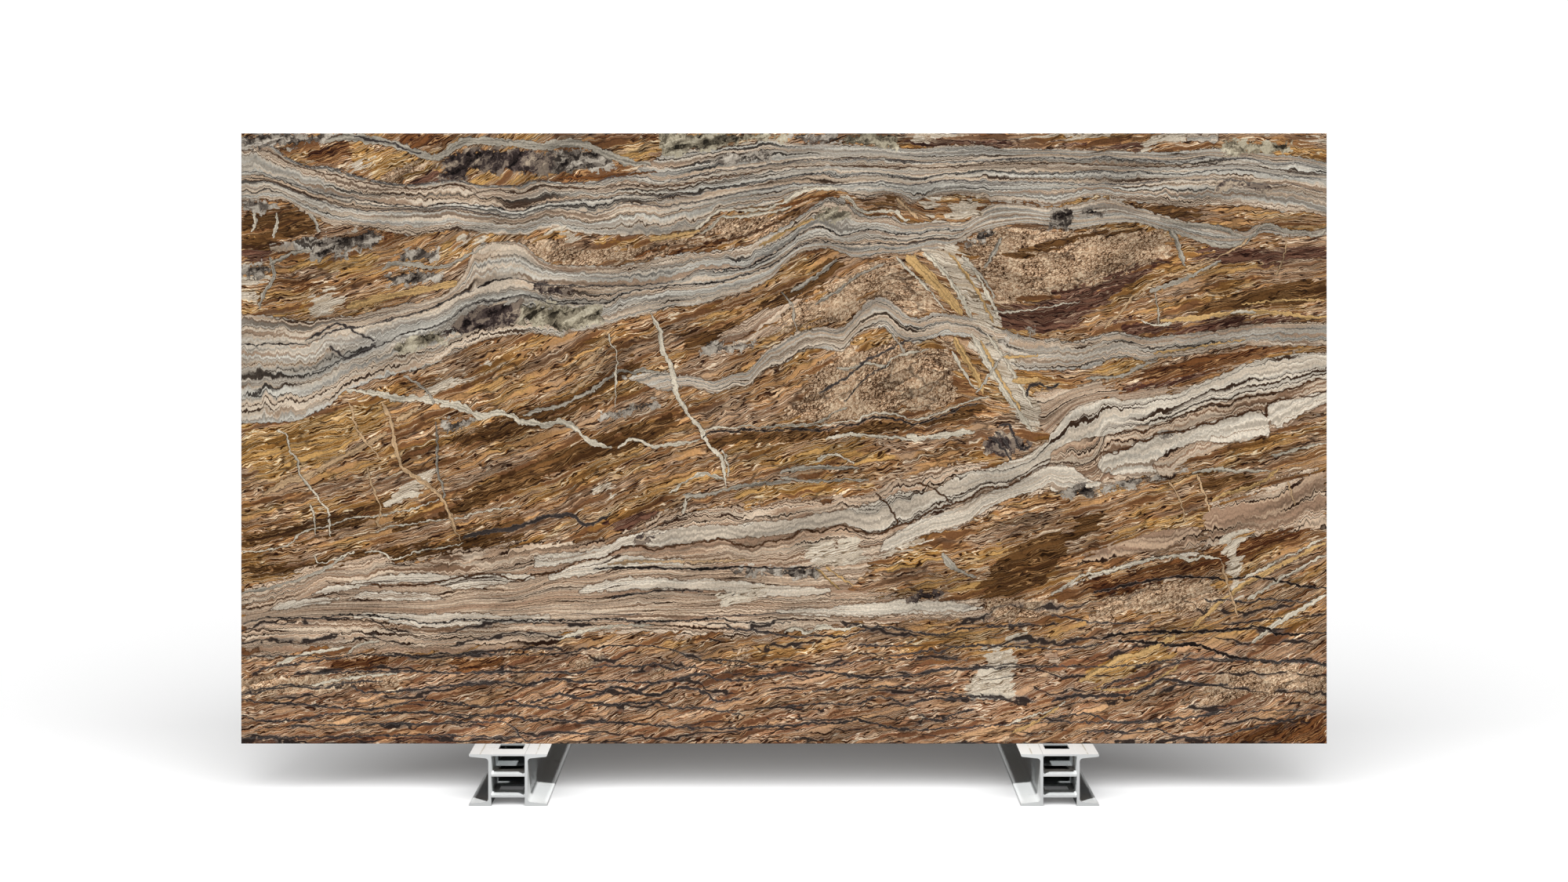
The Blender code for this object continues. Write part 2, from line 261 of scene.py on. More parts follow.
# Outlines of the patches of each kind of stone, besides the ribbons between bedding planes, one to a row
PATCHES = {
    Kind.GREY: """
8 141 13 140.5 20 141 25 143 20 145 14 143.5 8 142.5
119 164.5 128 165.3 132 164.8 133 163 127 162.5 122 160.8 120 162
270 174.3 270 172 279 172 279 174.3
""",
    Kind.CREAM: """
20 42.5 25 43 30 43.5 35 45 40 45.6 46 46 52 46 58 45 62 44 68 44.5 74 46 80 46.5 84 47 84 48 76 48.4 68 48.2
 60 47.6 54 48.6 46 48.4 40 47.8 36 46.6 30 45.6 24 44.8
30 41 36 41.5 44 40.8 52 40.8 58 41 57 42 50 43 42 43.4 34 43.2
8 38 14 38.6 20 39.6 26 40.5 28 41.6 22 41.6 16 41 11 40
32 36 40 35.2 48 33.5 56 33.2 64 34 76 34.4 88 34.8 88 36.6 76 36.4 64 37.2 54 36.8 44 37 36 37.4
84 50.6 90 51 95 52 100 52.2 104 53.6 108 55.6 114 57 120 56.2 126 57.2 132 58 140 58.6 148 59.2 156 59.8
 162 61 168 62.2 172 63 178 60.8 184 60.6 188 62.4 194 64.6 200 67 206 69.6 212 73 218 74 224 76.6 231 80
 231 86 224 82 218 80 212 78 206 77 200 73.5 194 71.5 188 72 182 69 176 67.6 168 66 160 64.4 150 63.2
 140 62.6 130 62 122 61.2 114 60.2 110 59.6 106 57.4 102 55.4 96 54.6 90 54.4 84 53.4
88 46.5 92 47.4 98 48 104 49.6 110 50.4 118 50.4 126 50.6 126 52.8 120 52.4 114 53.4 108 53.8 102 53.4
 97 51.6 92 50 88 48.4
182 54.5 186 55.6 190 57 195 59.5 200 60.6 205 62 210 65 215 68 220 70.5 226 72 231 74 231 79.5 226 77.5
 221 74.4 216 72.6 211 71 206 68 200 66 194 63.6 189 61.4 184 58.5
96 42.6 102 43.4 108 43.6 114 43.8 122 44.4 130 44 138 43.6 140 41.6 146 42.4 152 42 160 42 168 42.6 168 44.2
 160 44.6 150 45.4 142 46.2 134 46.8 126 46.6 118 47.4 110 47.4 104 46.2 98 44.8
150 38 160 38.4 170 39 180 40 190 41 200 40.6 206 40 212 38.6 206 37.6 200 37 190 37 180 36.4 170 36.4
 160 36.8
231 88 237 95 240 96.5 245 98 249 99 252 97.5 259 99 268 100 272 102 280 105.5 290 109.5 302 111.5 313 111.5
 313 105 306 103.8 302 102 297 100.5 287 99.6 284 98.4 280 97.6 273 96 267 93.4 262 91.5 256 90.6 251 89.2
 246 88 240 87 234 85 231 83
244.5 79.5 246 82.6 249 83 251 84 254 84.5 256 86.5 261 88 268 89 275 91.5 281 93 288 95 291 95 293 93
 294 88.6 287 86.6 282 86 275 86.4 270 85.4 264 83 260 79.6 262 77 256 76.6 250 76.8 246 77.4
293.5 93 293 96.5 296 98 300 98.5 304 99.3 313 101 313 98 306 96 300 92.4 296 90
231 72 231 79 234 79.8 238 78.6 241 76 244 74.6 250 74.4 243 72.6 236 72.4
231 42 240 46.4 262 52.6 275 54 275 54.6 260 53.4 244 48.4 231 43
""",
    Kind.PALE: """
194 141.5 199 142 203 142.5 207 138 211 131 214 125 216.5 120 211 119.5 207 126 203 132 198 137.5
207.5 117 216.5 117.5 219 111 223 103 228 94 226 88 222 92 219 99 213 108
20 128 22 128.5 24 130 26 130 27 128.5 30 128 29 126 26 124.5 24 123 22 122 20 123 19.5 126
0 131 0 132.5 8 132.5 8 131
0 127 0 129 4 128.6 4 127
61 141 64 142 69 144.5 68 145.5 63 144
87 146 92 147 95 146.5 98 145 101 145.5 97 143 95 142 92 144.5 88 145.3
31 163 38 165.5 38 167 33 166.5 31 165
192 172 192 174.3 196 174.3 196 172
197 173 210 173.2 230 173 245 172.5 247 174.3 197 174.3
258 170 262 172 268 172.5 269 174.3 259 174.3
293 172 300 173 310 172 310 173.5 293 173.5
194.5 156 200 156.5 199 153 197 152 194.5 153.5
201 153 204 155 210 156 214 154.5 211 151 208 150 203 149.5
137 42 143 43 150 45 150 43 143 40.5 138 40
161 56 162 52 165 50.5 172 52 178 52 178 55 176 57.5 172 57.5 170 55 168 58 164 57.5
183 54 188 57 194 59.5 200 60 198 58 190 55.5
281 59.5 287 60 285 57 285.5 49 285.5 42.5 284.5 40.5 283 45 281.5 53 281 57
212 26.5 212.5 22 210.5 19 206 15 210 14 220 13.5 220 20 223 26 214 27
219 29 225 31 222 31
42 68 47 70 54 76 56 80 50 77 44 72
54 100 60 101.5 66 104.5 66 105 60 104 54 101.5
68 106 75 109 75 109.5 68 107.3
95 66.5 97 71 101 73.5 105 74.8 107.5 71.5 105.5 69.8 104.5 71 103 72.8 99 70.5 96.5 67
""",
    Kind.OLIVE: """
120 174.3 120 170 121 168 126 169 132 170 140 171.5 147 172.5 156 172 157 174.3
172 170.5 187 170.5 187 174.3 172 174.3
281 168.5 300 169 300 172 281 172
77 125.5 84 126 92 124.8 103 125 104 121 96 118.5 92 117 90 117.5 86 119.5 77 120.5
162 150 166 153 172 153.3 176 152 172 149.5 166 149.5
43 112 45 115 50 116.5 57 117.5 58 115 52 114 45 110.5
""",
    Kind.MOTTLED: """
86 169.5 100 170 104 168 108 165 105 163.5 98 164 90 162.5 86 164
0 170 8 170.5 14 170 22 172 28 173 28 174.3 0 174.3
0 152 10 152.5 10 155 0 155
0 133 5 133.3 9 135 8 137 0 137
20 142 24 145 33 145.5 37 147.5 40 145 39 142 30 141 25 140 20 138
22 138 26 140.5 30 140.5 30 138.5 26 138
40 133.5 45 135 50 135.5 55 134 60 134.5 57 132.5 47 131 41 131.5
45 137.5 45 140 50 141.5 56 141.5 56 138.5 50 137.5
156 172 157 174.3 172 174.3 172 172.3 166 171.5 160 171.8
134 166 138 168.5 144 168.5 150 169.5 152 169 150 167 144 166 137 165
231 147 231 153 238 153 238 148
240 151 247 151 247 152.3 240 152.3
207 143 212 143.5 216 145 216 147 210 146.5
213 114 218 116 226 119 226 117 219 114.5
57 89 57 92 62 93 66 92 64 90
131 111 133 114.5 139 114 147 115 146 113 138 112
103 92.5 103 94 110 96.5 118 98 118 96.5 110 93.8
231 71 237 74 244 73 255 75.5 265 77 270 78.5 262 75 250 72.5 240 70
140 47.5 165 47.5 165 50 140 50
262 88 266 89.5 270 90 268 88.5
""",
    Kind.SMOKY: """
56 161.5 58 164 57 166 60 168.5 63 169.5 66 170 80 170 85 169 90 168.5 88 163 86 162.5 80 163 75 163.5
 65 163.5 64 161 60 161
57 117 60 119 64 122 67 125 72 125.5 80 127 79 121 71 118 62 116.5
82 131 86 131.5 90 131 95 130 94 128 86 128.5
276 160 281 161 287 160.5 292 160 296 159.5 296 158 291 158 286 158.8 280 158.5
110 57.5 112 59 120 60 118 58 113 57
213 83 217 82.5 221 83.5 225 85 222 88 217 88.5 213 87
190 40.5 194 43.5 200 43 198 40.8
""",
    Kind.OCHRE: """
0 91 10 91 18 93 24 95 30 97.5 38 97 41 95 38 90 32 86 25 80 15 78 5 76 0 80
31 166 31 169 36 170 41 169 46 169 50 168 55 166.5 56 165 52 163 48 160.5 44 161 40 161 35 164 30 165.5
65 160 70 163 76 163.5 76 161 72 160.3
77 160 80 161.5 84 162.5 84 161.5 80 159.8
2 144.3 9 144.5 9 146.5 2 146.3
15 137 18 139 24 138.5 29 140 38 139.8 39.5 137 36 134.5 32 133 24 135 17 135.5
55 138 58 138 62 140 60 142 57 141
95 143.5 100 143 104 144.5 110 145 116 144.5 120 145.2 125 146 129 146.5 129 145 122 144 116 143 110 142
 102 141.8
0 124 10 125 20 127 20 123.5 10 123
236 101 240 104.8 244 106.5 249 109.5 253 110.4 258 109 256 107.6 253 106 248 105.6 243 105.4 239 103.5
256 104.5 260 106.4 266 108 271 108.6 266 106.5 260 105
203 43 203 46 209 46.5 215 46 214 43.5
210 53 213 56 217 56 221 53 217 53.5 213 53
240 18 240 22 252 27 264 28 266 25 256 21 246 17
255 61 258 65 268 66 275 65.5 270 63 262 61
186 50 190 54 198 56 200 54 194 51.5
108 166.8 111 169.5 118 170 120 168.8 116 167
140 72 150 74 162 75 172 74 180 73.5 170 71 156 70.3 146 70
150 80 158 83 170 85 182 84 186 82 172 80.5 160 79.5
190 137 194 136.5 200 130 206 122.5 203 125 197 131
""",
    Kind.TAN: """
81 143 88 145 92 144 95 142 106 141.5 118 142.5 130 144 136 144 141 143 141 141.5 130 140.5 119 139.3
 110 137.3 98 136.5 92 136.5 87 138 83 140
130 146 134 148.5 138 150 148 151 157 152.5 157 148.5 151 145.5 139 145 133 145
207 143 210 145.5 213 147 224 148.3 231 147.5 250 147 258 147.5 263 146 265 142 266 139 257 135 252 133
 247 131 240 129.5 231 129 220 125.5 215 126 213 132 211 136 209 139
154 92 160 100 166 108 174 113 186 114.5 196 114 203 114 204 108 205 98 196 94 184 95 176 92 164 91.5
40 161 44 161 50 163.5 55 166 50 166 45 164
45 150 50 149.8 55 151.5 50 152.3
154 126 165 128 176 136 186 138.5 196 132 200 124 190 124 180 129 172 122 160 119.5 152 118
60 45 80 47 98 51 98 53 80 51 60 49
0 18 20 19 45 19.5 45 16.5 22 15 0 14
248 38 262 37 279 38 279 46 266 46.5 252 44 247 41
243 31 250 32 250 38 243 38
273 10 282 12 296 14 310 13 310 22 292 22 280 20
90 21 96 24.5 103 25.5 103 23 97 21.5
135 18 139 24 145 27 145 24 140 19
117 19 121 22 124 22 121 19
181 97 185 103 188 104 186 98.5
212 36 234 36.5 234 42 212 42
""",
    Kind.UMBER: """
134 84.5 146 86 160 86 175 89 190 89.5 205 92 212 96 211 98 201 93.5 192 91 181 92.5 171 90.5 157 89.2
 144 88.8 134 88
45 64 55 66 64 71 75 78 90 84 110 90 124 96 124 92 112 85 95 79 80 72 66 66 52 62 44 61
60 88 70 91 84 96 100 103 112 110 114 107 100 98 86 91 72 86 62 84
0 51 20 52 40 53 60 58 80 66 80 62 62 54 40 50 20 49 0 48
0 60 16 62 30 66 44 72 44 68 30 62 16 58 0 57
210 42 214 49 220 55 230 60 236 60 236 54 230 46 222 42
270 73.5 276 76 290 77.5 290 75 280 73
236 58 240 64 246 66 244 61
268 123 280 127.5 290 130.5 300 131.5 313 132.5 313 127 300 126 290 125.5 280 124
125 117 135 119 147 124 158 130 170 138 172 136 160 127 148 119 138 115 127 114
218 139 228 143 245 146 257 148 257 146.5 245 145 234 143 220 138
290 141 294 143.5 297 144 297 141.5
250 147.5 262 149.5 276 150.5 270 153 258 154 250 153
0 144 10 144 14 142.5 8 141.5 0 141.5
176.5 155.5 178 153.8 181 153.3 184 153.8 187 153.7 188 154.2 187 155.5 185 156.5 183 156 181 155 179 155.3
154 150 160 153 168 156 170 156.5 170 154.5 162 151
0 146 10 145 21 146 21.5 147 20 150 18 152 14 152.5 8 152.5 0 152
115 61 130 66 130 64 118 59.5 104 54.5 104 56
30 53 60 58 80 60 80 57 60 54.5 32 50.5
""",
    Kind.MAROON: """
48 160.5 52 162.5 54 163 58 161 54 160 50 159
248 121 255 121 262 119.5 270 120 280 120.8 290 122 300 121.5 310 121.5 310 120.5 300 120.5 290 120 280 118.5
 270 117.5 260 116 253 117.3 249 118
215 124 228 126.5 245 131 256 136 262 139 266 138 256 132 248 126 240 121 232 117.5 222 119 215 120.5
250 101.5 256 103.5 262 104 275 106 280 107.5 275 104.5 268 102.4 260 101 253 99.8
190 170 194 169.5 196 171.5 200 170 204 171 210 171.5 220 170.5 226 171 240 170 256 170 258 172 240 172.3
 220 172.5 204 173 190 172.5
270 139 280 142 290 141 298 142 310 141.5 310 139 296 138 284 137.5
0 138 8 138.2 10 139.3 4 140.6 0 140.5
100 62 112 66 118 65.5 110 61.5
0 0 20 1 40 3 60 2.5 60 0
""",
    Kind.RUST: """
19 169 21 166.5 22 165 27 165 31 168.5 31 170 30 173 27 172 24 170.5 20 170
45 174.3 46 172 50 170.5 53 171 58 171 62 174.3
90 161 93 163 97 163.5 104 162 108 162.8 115 163.3 119 164 119 162.5 112 162 105 161 100 160.3 94 160.8
102 171 106 173.5 112 172.5 118 172 118 174.3 102 174.3
39 147 44 146 44 143.5 40 143
9 130.5 16 130.3 24 131 24 132.5 12 132.5
254 104 262 107.4 270 109.4 280 110.8 290 112.4 300 113.8 300 112 290 110.4 280 107.6 270 105.4 262 104
113 140 122 141 137 143.5 137 142 124 140
25 21 42 22.5 42 24.5 25 24
60 21 75 22.5 75 25 60 24.5
145 35 152 35.5 152 37 145 36.5
270 0 282 2.5 296 6 310 8 310 0
240 46 262 50 280 56 296 62 310 66 310 62 296 56 282 50 262 46 244 42
""",
    Kind.PINK: """
276 57 288 60 310 62 310 78 300 76 290 72 276 68
0 25 20 26 40 26 60 26 76 26.5 88 27 92 31 104 32.5 116 31.5 130 30.5 145 30.5 155 31 166 33 180 35 192 36.4
 204 36 214 36.5 212 40 204 41.6 190 42 180 42.4 174 45 178 49 182 52.8 187 55 192 57.5 198 59 205 61 208 62
 212 66 216 68 219 70 222 70.5 227 71 231 74 234 72.5 243 72 248 73.3 252 75.5 265 76 267 78 270 80 274 82
 278 84 282 85 287 86.5 295 87.5 299 90 303 93 307 95.5 313 97 313 111.5 302 111.5 296 111 290 109.5 285 108
 280 105.5 276 104 272 102 268 100 259 99 252 97.5 249 99 245 98 240 96.5 237 95 234 91 231 88 228 84
 225 81.5 220 80.5 216 79.5 212 80 208 80 203 79 198 77 192 75 187 75.3 183 72 178 70.5 172 71 166 70
 157 69.5 150 68.5 143 67.5 130 67.5 125 66.5 121 65 118 63 114 61 110 59.5 107 57.5 104 57.4 96 58 88 58
 80 57.5 70 55.5 60 54 50 52.5 40 52.5 30 51 20 50 10 47 0 45
229 27 234 21 240 11 238 14 233 24
222 97 228 100 236 101 244 104 252 101 262 101 270 102.5 262 99.4 252 97.6 246 98.2 240 96.6 236 94 231 89
 226 92
240 54 250 58 262 60 274 61 274 56 262 55.5 250 53 240 50
134 111 150 118 158 124 160 128 150 124 138 117
94 128 105 124 108 122 110 127 100 130
""",
}

# Veins and seams by tint, one to a row: the width at the start and at the end, in centimetres, and the route
VEINS = {
    Tint.BLACK: """
0.3 0.26 0 34 7 36 13 35.7 23 36 28 36.8 38 36.5 43 35.8 49 35 54 34.3 64 35.3 76 35.2 90 35.2 96 35 108 35.6
 112 34.8 124 35 136 35.7 140 34.8 152 34.3 157 34.8
0.28 0.22 0 25 18 25 28 24.3 33 25.5 50 25 62 25.7 77 25.3 90 25.5 95 26.2 100 27.3 110 28 115 27.8 120 27.5
 124 26.5 127 25 130 24 140 23.7 144 23.2 146 22 150 22.5 153 24 157 23.7 168 22.2 176 23.5 187 24 208 23.8
0.7 0.45 245 29.5 250 31.3 268 32 278 32 289 33.3 293 32.8 296 31.3 310 31.5
0.65 0.6 250 29.3 261 28.7 266 27.8 271 28.5 276 27.3 279 26 283 24.8 292 23.5 304 23.5 310 22.8
0.45 0.3 100 50 115 50.2 130 49.8 142 50.3 157 50 163 50.6
0.3 0.24 105 41.3 110 42.3 115 42.8 120 43.8 125 43.8 132 43.3
0.34 0.3 131 87 134 89 137 89.5 141 89 144 90 148 89.3 157 89.7 167 89.6 171 91 176 91 178 92.5 181 93.2
 187 92.7 192 91.2 197 92.5 201 94 206 96 211 97.4
0.26 0.22 172 97.5 178 104 186 109.5
0.24 0.22 0 114 10 114.2 19 114
0.55 0.35 243 43 248 44 257 46 267 47.5 278 47.3 281 46.7 289 47.8 298 46 307 44.3 310 44.2
""",
    Tint.SLATE: """
0.4 0.36 20 20 35 20.5 52 20.5 64 20 80 20.5 92 20.2 97 20 100 21.5 104 22.3 115 22 118 22.8 124 21 130 22
0.32 0.3 5 20.8 9 22 20 23.3 28 24.7
0.4 0.36 0 14.3 5 14.5 9 16 13 16.8 22 15.7 31 17.5 41 17.7
0.44 0.46 31 16.5 34 15 37 14.5 48 15.3 58 16.3 68 17.2 78 17.5 81 16.3 85 17.7 91 18.5 95 17.5 106 18
 115 17.3 125 18.3 129 19.7 133 19.7 137 18.3 146 18 151 19.5 166 20.5 176 19 188 19 197 20.5 202 21.3
 213 21.5 225 22
0.4 0.36 0 12.5 8 11.5 18 11 30 10 38 9.8 44 11 50 12.3 60 11.5 72 10.3 77 12.5 80 11 84 10.5 92 9.3 95 11.3
0.8 0.5 82 11.5 87 13 92 14 98 12.8 103 14.5 107 16 116 14 120 13.8 124 15.8 129 15.7 133 14 136 12 143 13
0.36 0.3 100 10.5 112 11.5 118 11.7 122 10.3 132 10 144 8
0.46 0.46 0 8 6 6.5 16 6.8 27 8.5 39 8.5 52 8.8 64 7.5 77 8 82 6.5 88 7 95 6 108 6 120 5 133 4.3 147 4.5
 160 5.5 172 6 176 6.8 184 4.7 194 3.8 201 4.5
0.34 0.3 14 5 33 5.3 55 5.7 65 6 76 5.7 80 1.5 84 1 92 3 103 2.3
0.3 0.3 0 1.5 24 1.8 52 2.3 80 1.7
0.34 0.3 163 15 178 16 190 16 200 14.5 210 13.5
0.34 0.3 188 10.5 192 11.5 196 13 204 12.5 208 13.3 220 12.7
0.34 0.3 154 10.5 166 11.5 175 11 180 13 185 13 189 11
0.34 0.3 193 8.5 199 6.3 203 8 210 10
0.36 0.34 185 25 194 26 197 26.8 199 25.7 203 27.5 213 28 224 27.5 234 27 243 27.8 249 30
0.3 0.3 176 28 188 27.8 192 29.5
0.36 0.36 137 33 146 32.3 155 30.8 160 30.5 166 30.8 172 30.3 180 33 185 33.3 192 31.8 200 31 204 32.3 210 33
 220 33.8 226 34
0.34 0.3 275 41.5 277 40.5 281 41 288 40.3 292 41.3 306 40.3
0.34 0.3 231 36.5 239 35.5 244 34.5 260 34.2
0.8 0.6 231 12 236 13.3 250 13.7 255 14.3 260 16.3 264 18.3 272 17 282 16.5
0.34 0.3 245 15 249 17.5 258 19 262 21 267 23 272 26
0.4 0.34 231 7 240 8.5 244 8 247 6.3 251 6 262 6.8 273 7.5 278 9 284 10.5
0.34 0.3 241 3.3 252 3 260 4.5 266 2.5 270 1.7 282 2.5 286 4 298 6.5 310 9.5
1 0.6 63 58.5 70 60.5 80 62 86 64.5 91 65 94 65.5 98 62.5 101 63 106 66
0.6 0.4 213 87.5 216 86.5 217 84.5 219 83 220 81
0.6 0.4 216 90 219 91 220 89 221 87 222 85 224 84 226 85.5
0.5 0.4 215 89 217 88 218.5 86 219.5 84
0.6 0.5 224 99 225 102 228 103 231 101.5 234 103
0.6 0.5 25 114 28 111.5 30 110.2 35 112 39 114
0.5 0.4 18 115 25 119 28 120 31 118.5 34 117 38 115
0.6 0.3 32 173.5 37 172.3 43 171.5 47 169.5 52 168.3
0.5 0.4 165 100 172 104 178 109 186 113 192 116
""",
    Tint.BROWN: """
0.34 0.3 0 58 5 58.4 12 60 20 63 30 66 40 68
0.4 0.34 24 46 32 45.5 36 46 40 45 50 45.3 55 45.8 58 46.5 62 47.5 66 48 72 48.5 79 46.5 83 48 90 49 94 51
 99 52.5 103 53 107 55 110 56.3 115 56.2 118 55.3 122 56 127 57 134 57.7 137 58.5 143 56.5 146 56 150 57.5
 157 58.5 160 61 165 60.5 168 61.5 172 62.3 175 61 178 60 183 60 187 62 192 63.5 196 66 200 67.5 204 68.5
 208 70 212 73 216 73 219 73.5 222 75 225 77 228 79 233 80 240 80
0.36 0.34 247 88 251 88.8 255 89.5 258 89 260 90.5 263 91 265 91.5 267 93 270 94.3 273 95.5 277 97 280 96.8
 282 96.5 284 98 287 99 292 99.5 297 100.5 302 102 306 103.8 310 104.5
0.36 0.34 244 79.5 244.5 82 247 83.5 250 82.5 251 84 254 84.5 256 86.5 259 86.5 261 88 265 89 268 89 272 90
 275 91.5 278 91.5 281 93 284 93.5 286 94 288 95 291 95 293 93.5 293 96.5 296 98 300 98.5 304 99 310 100.5
0.5 0.3 181 71.5 184 69 186 66 187.5 62.5
0.4 0.3 193 74.5 198 72.5 203.5 68.5
0.5 0.5 0 141.8 6 142 12 143
0.5 0.4 134 143 140 144.3 148 146.5 156 150.5
""",
    Tint.RUST: """
0.5 0.4 90 161.8 100 161.6 110 162.8 119 163.3
0.6 0.4 154 153.5 160 155 166 156.6 170 156.6
""",
    Tint.OCHRE: """
3 2.6 190 139.5 193 137 196 134 199 131 202 127.5 206 122.5
2 1.4 203.5 116 207 110 210 105 212 100
0.8 0.6 202 140.5 206 135.5 210 129.5 213 124 215 120
0.8 0.6 211 115 215 108 219 101 223 95
2.2 1.8 30 124.5 35 126 40 127.5 56 130.5 62 132
0.9 0.7 217 110.3 222 110.5 228 111
1.5 1.2 220 103.5 228 104
0.6 0.4 260 111.5 270 112.6 280 114.4 287 115.4
1.3 1.1 262 121 270 121.4 278 122.6 285 123.2 292 123.4 300 122.6 305 121.8 310 122
1.2 0.8 277 69 280 71 285 72.5 290 74 297 79
0.8 0.6 243 15.5 254 15.5 258 17 263 19 268 22.5
1.3 1.6 239 17.5 246 21.5 251 24.5 257 25.5 262 28 267 30.6
0.9 1.6 271 32.5 277 38 283 43 290 47.5 298 51.5 310 57.5
0.8 0.6 220 3 226 5.5 234 11
0.6 0.5 285 125.5 296 126.5 310 127
0.7 0.5 164 50 168 46.5 171 44
0.7 0.5 167 50.5 171 47.5 175 45
1.2 1 116 144 124 145.2 131 146.6
1 0.8 148 142 156 146.5 164 150
""",
    Tint.TAN: """
1.2 1 40 97.5 42 94 43 90 43.5 87 44 84 45 81 46 78.5 50 76 53 74 56 71.5 58 69 59 66 60 64 62.5 58
0.7 0.5 31 97.5 32 93 33 90 35 87 38 83.5 39.5 81
0.6 0.5 36 79 37 75 38 72 39.5 68 39.5 65 38.5 63 40 61.5
0.6 0.5 299 144.5 298 140 296.5 136 295.5 133.5
0.7 0.6 246 118 251 123 256 128.5 262 132.5 270 135.5 278 138.5 284 141.5 288 144.5
1 0.8 187 156 190 153 193.5 150
2 1.6 6 71 13 75 18 76 25 80 31 83 37 86.5 42 89
1.2 1 44 92 47.5 94 51 96
0.7 0.5 154 136.5 158 138 162 140
0.8 0.6 280 52 283 42 284.5 36
0.6 0.5 265 75 268 70 269.5 63
0.6 0.5 273 77 276 69 276.5 66
0.6 0.5 299 75 301 68
1.2 0.8 94 100 97 102.5 100 105 103 109 105 111
1.2 0.8 96 107 99 109 104 114
0.9 0.6 104 51 112 52 122 52 134 52 146 52.5
""",
    Tint.GREY: """
2.6 2.4 24 172 30 173.3 38 172.3 44 171 50 168.7 56 167.7 60 170 64 172 73 172 85 171 95 171.5 100 170.5
 104 168.5 110 166.5 117 165.5
1 0.8 241 104 245 104.6 250 104.6 254 106 257 108 262 109.4
1 1.2 80 93.5 84 95 91 96.5 95 98.5 99 100 102 102.5 105 104.5 108 106.7 112 106 115 106.8 120 105.7
1.3 1.1 157 129 162 132 166 135 170 138.5
0.9 0.7 164 125.5 172 130.5 176 133.5 184 137.5
1.1 1 212 136 214 138.5 216 142 217 144.5
1.2 1 265 147 267 144 268 141 269 138 270 136.5
1.3 1.2 262 150 266 149 270 148.3 276 147.7 281 147 284 145.5 287 144.8
1.2 1.2 262 147.5 266 146.5 270 145 274 144 277 142.6 281 142 285 142.5 288 144.5 291 147 293 148 296 147.5
 300 146 304 146.2 307 145 310 147
1.2 1 259 129 265 131 272 134 280 138
0.8 0.6 46 105 49 103.5 52 101.5 54 99 55 97
0.6 0.5 55.5 92 56 82 56 77 57.5 74 58 70
0.6 0.4 154 129 156 127 158 124 158 121 159 118
0.8 0.6 206 137.5 210 135 214 130 215 127
1.3 1.1 8 139 9 136 9 133 8 131 6 128 5 124
1.3 1.1 8 137 12 139 16 140.5 20 141
0.9 0.7 19 151.5 21 149.5 21.5 147.5 22 146
0.8 0.6 186 117 188 114 189.5 111.5
1.3 0.9 154 77.5 163 79 177 78.5
0.9 0.7 154 76 163 75 180 75.5
1.2 1 126 70.5 135 71.5 142 73.5 157 75
0.9 0.8 30 53.5 24 50 17 47 8 44.5 0 43
1.3 1.3 40 135.5 43 137 50 136.8 53 135.8 57 136.3 61 137.5 65 139.5 70 143
1.6 1.2 200 54 204 50 210 47
0.7 0.6 210 100 214 106 217 110 220 112
""",
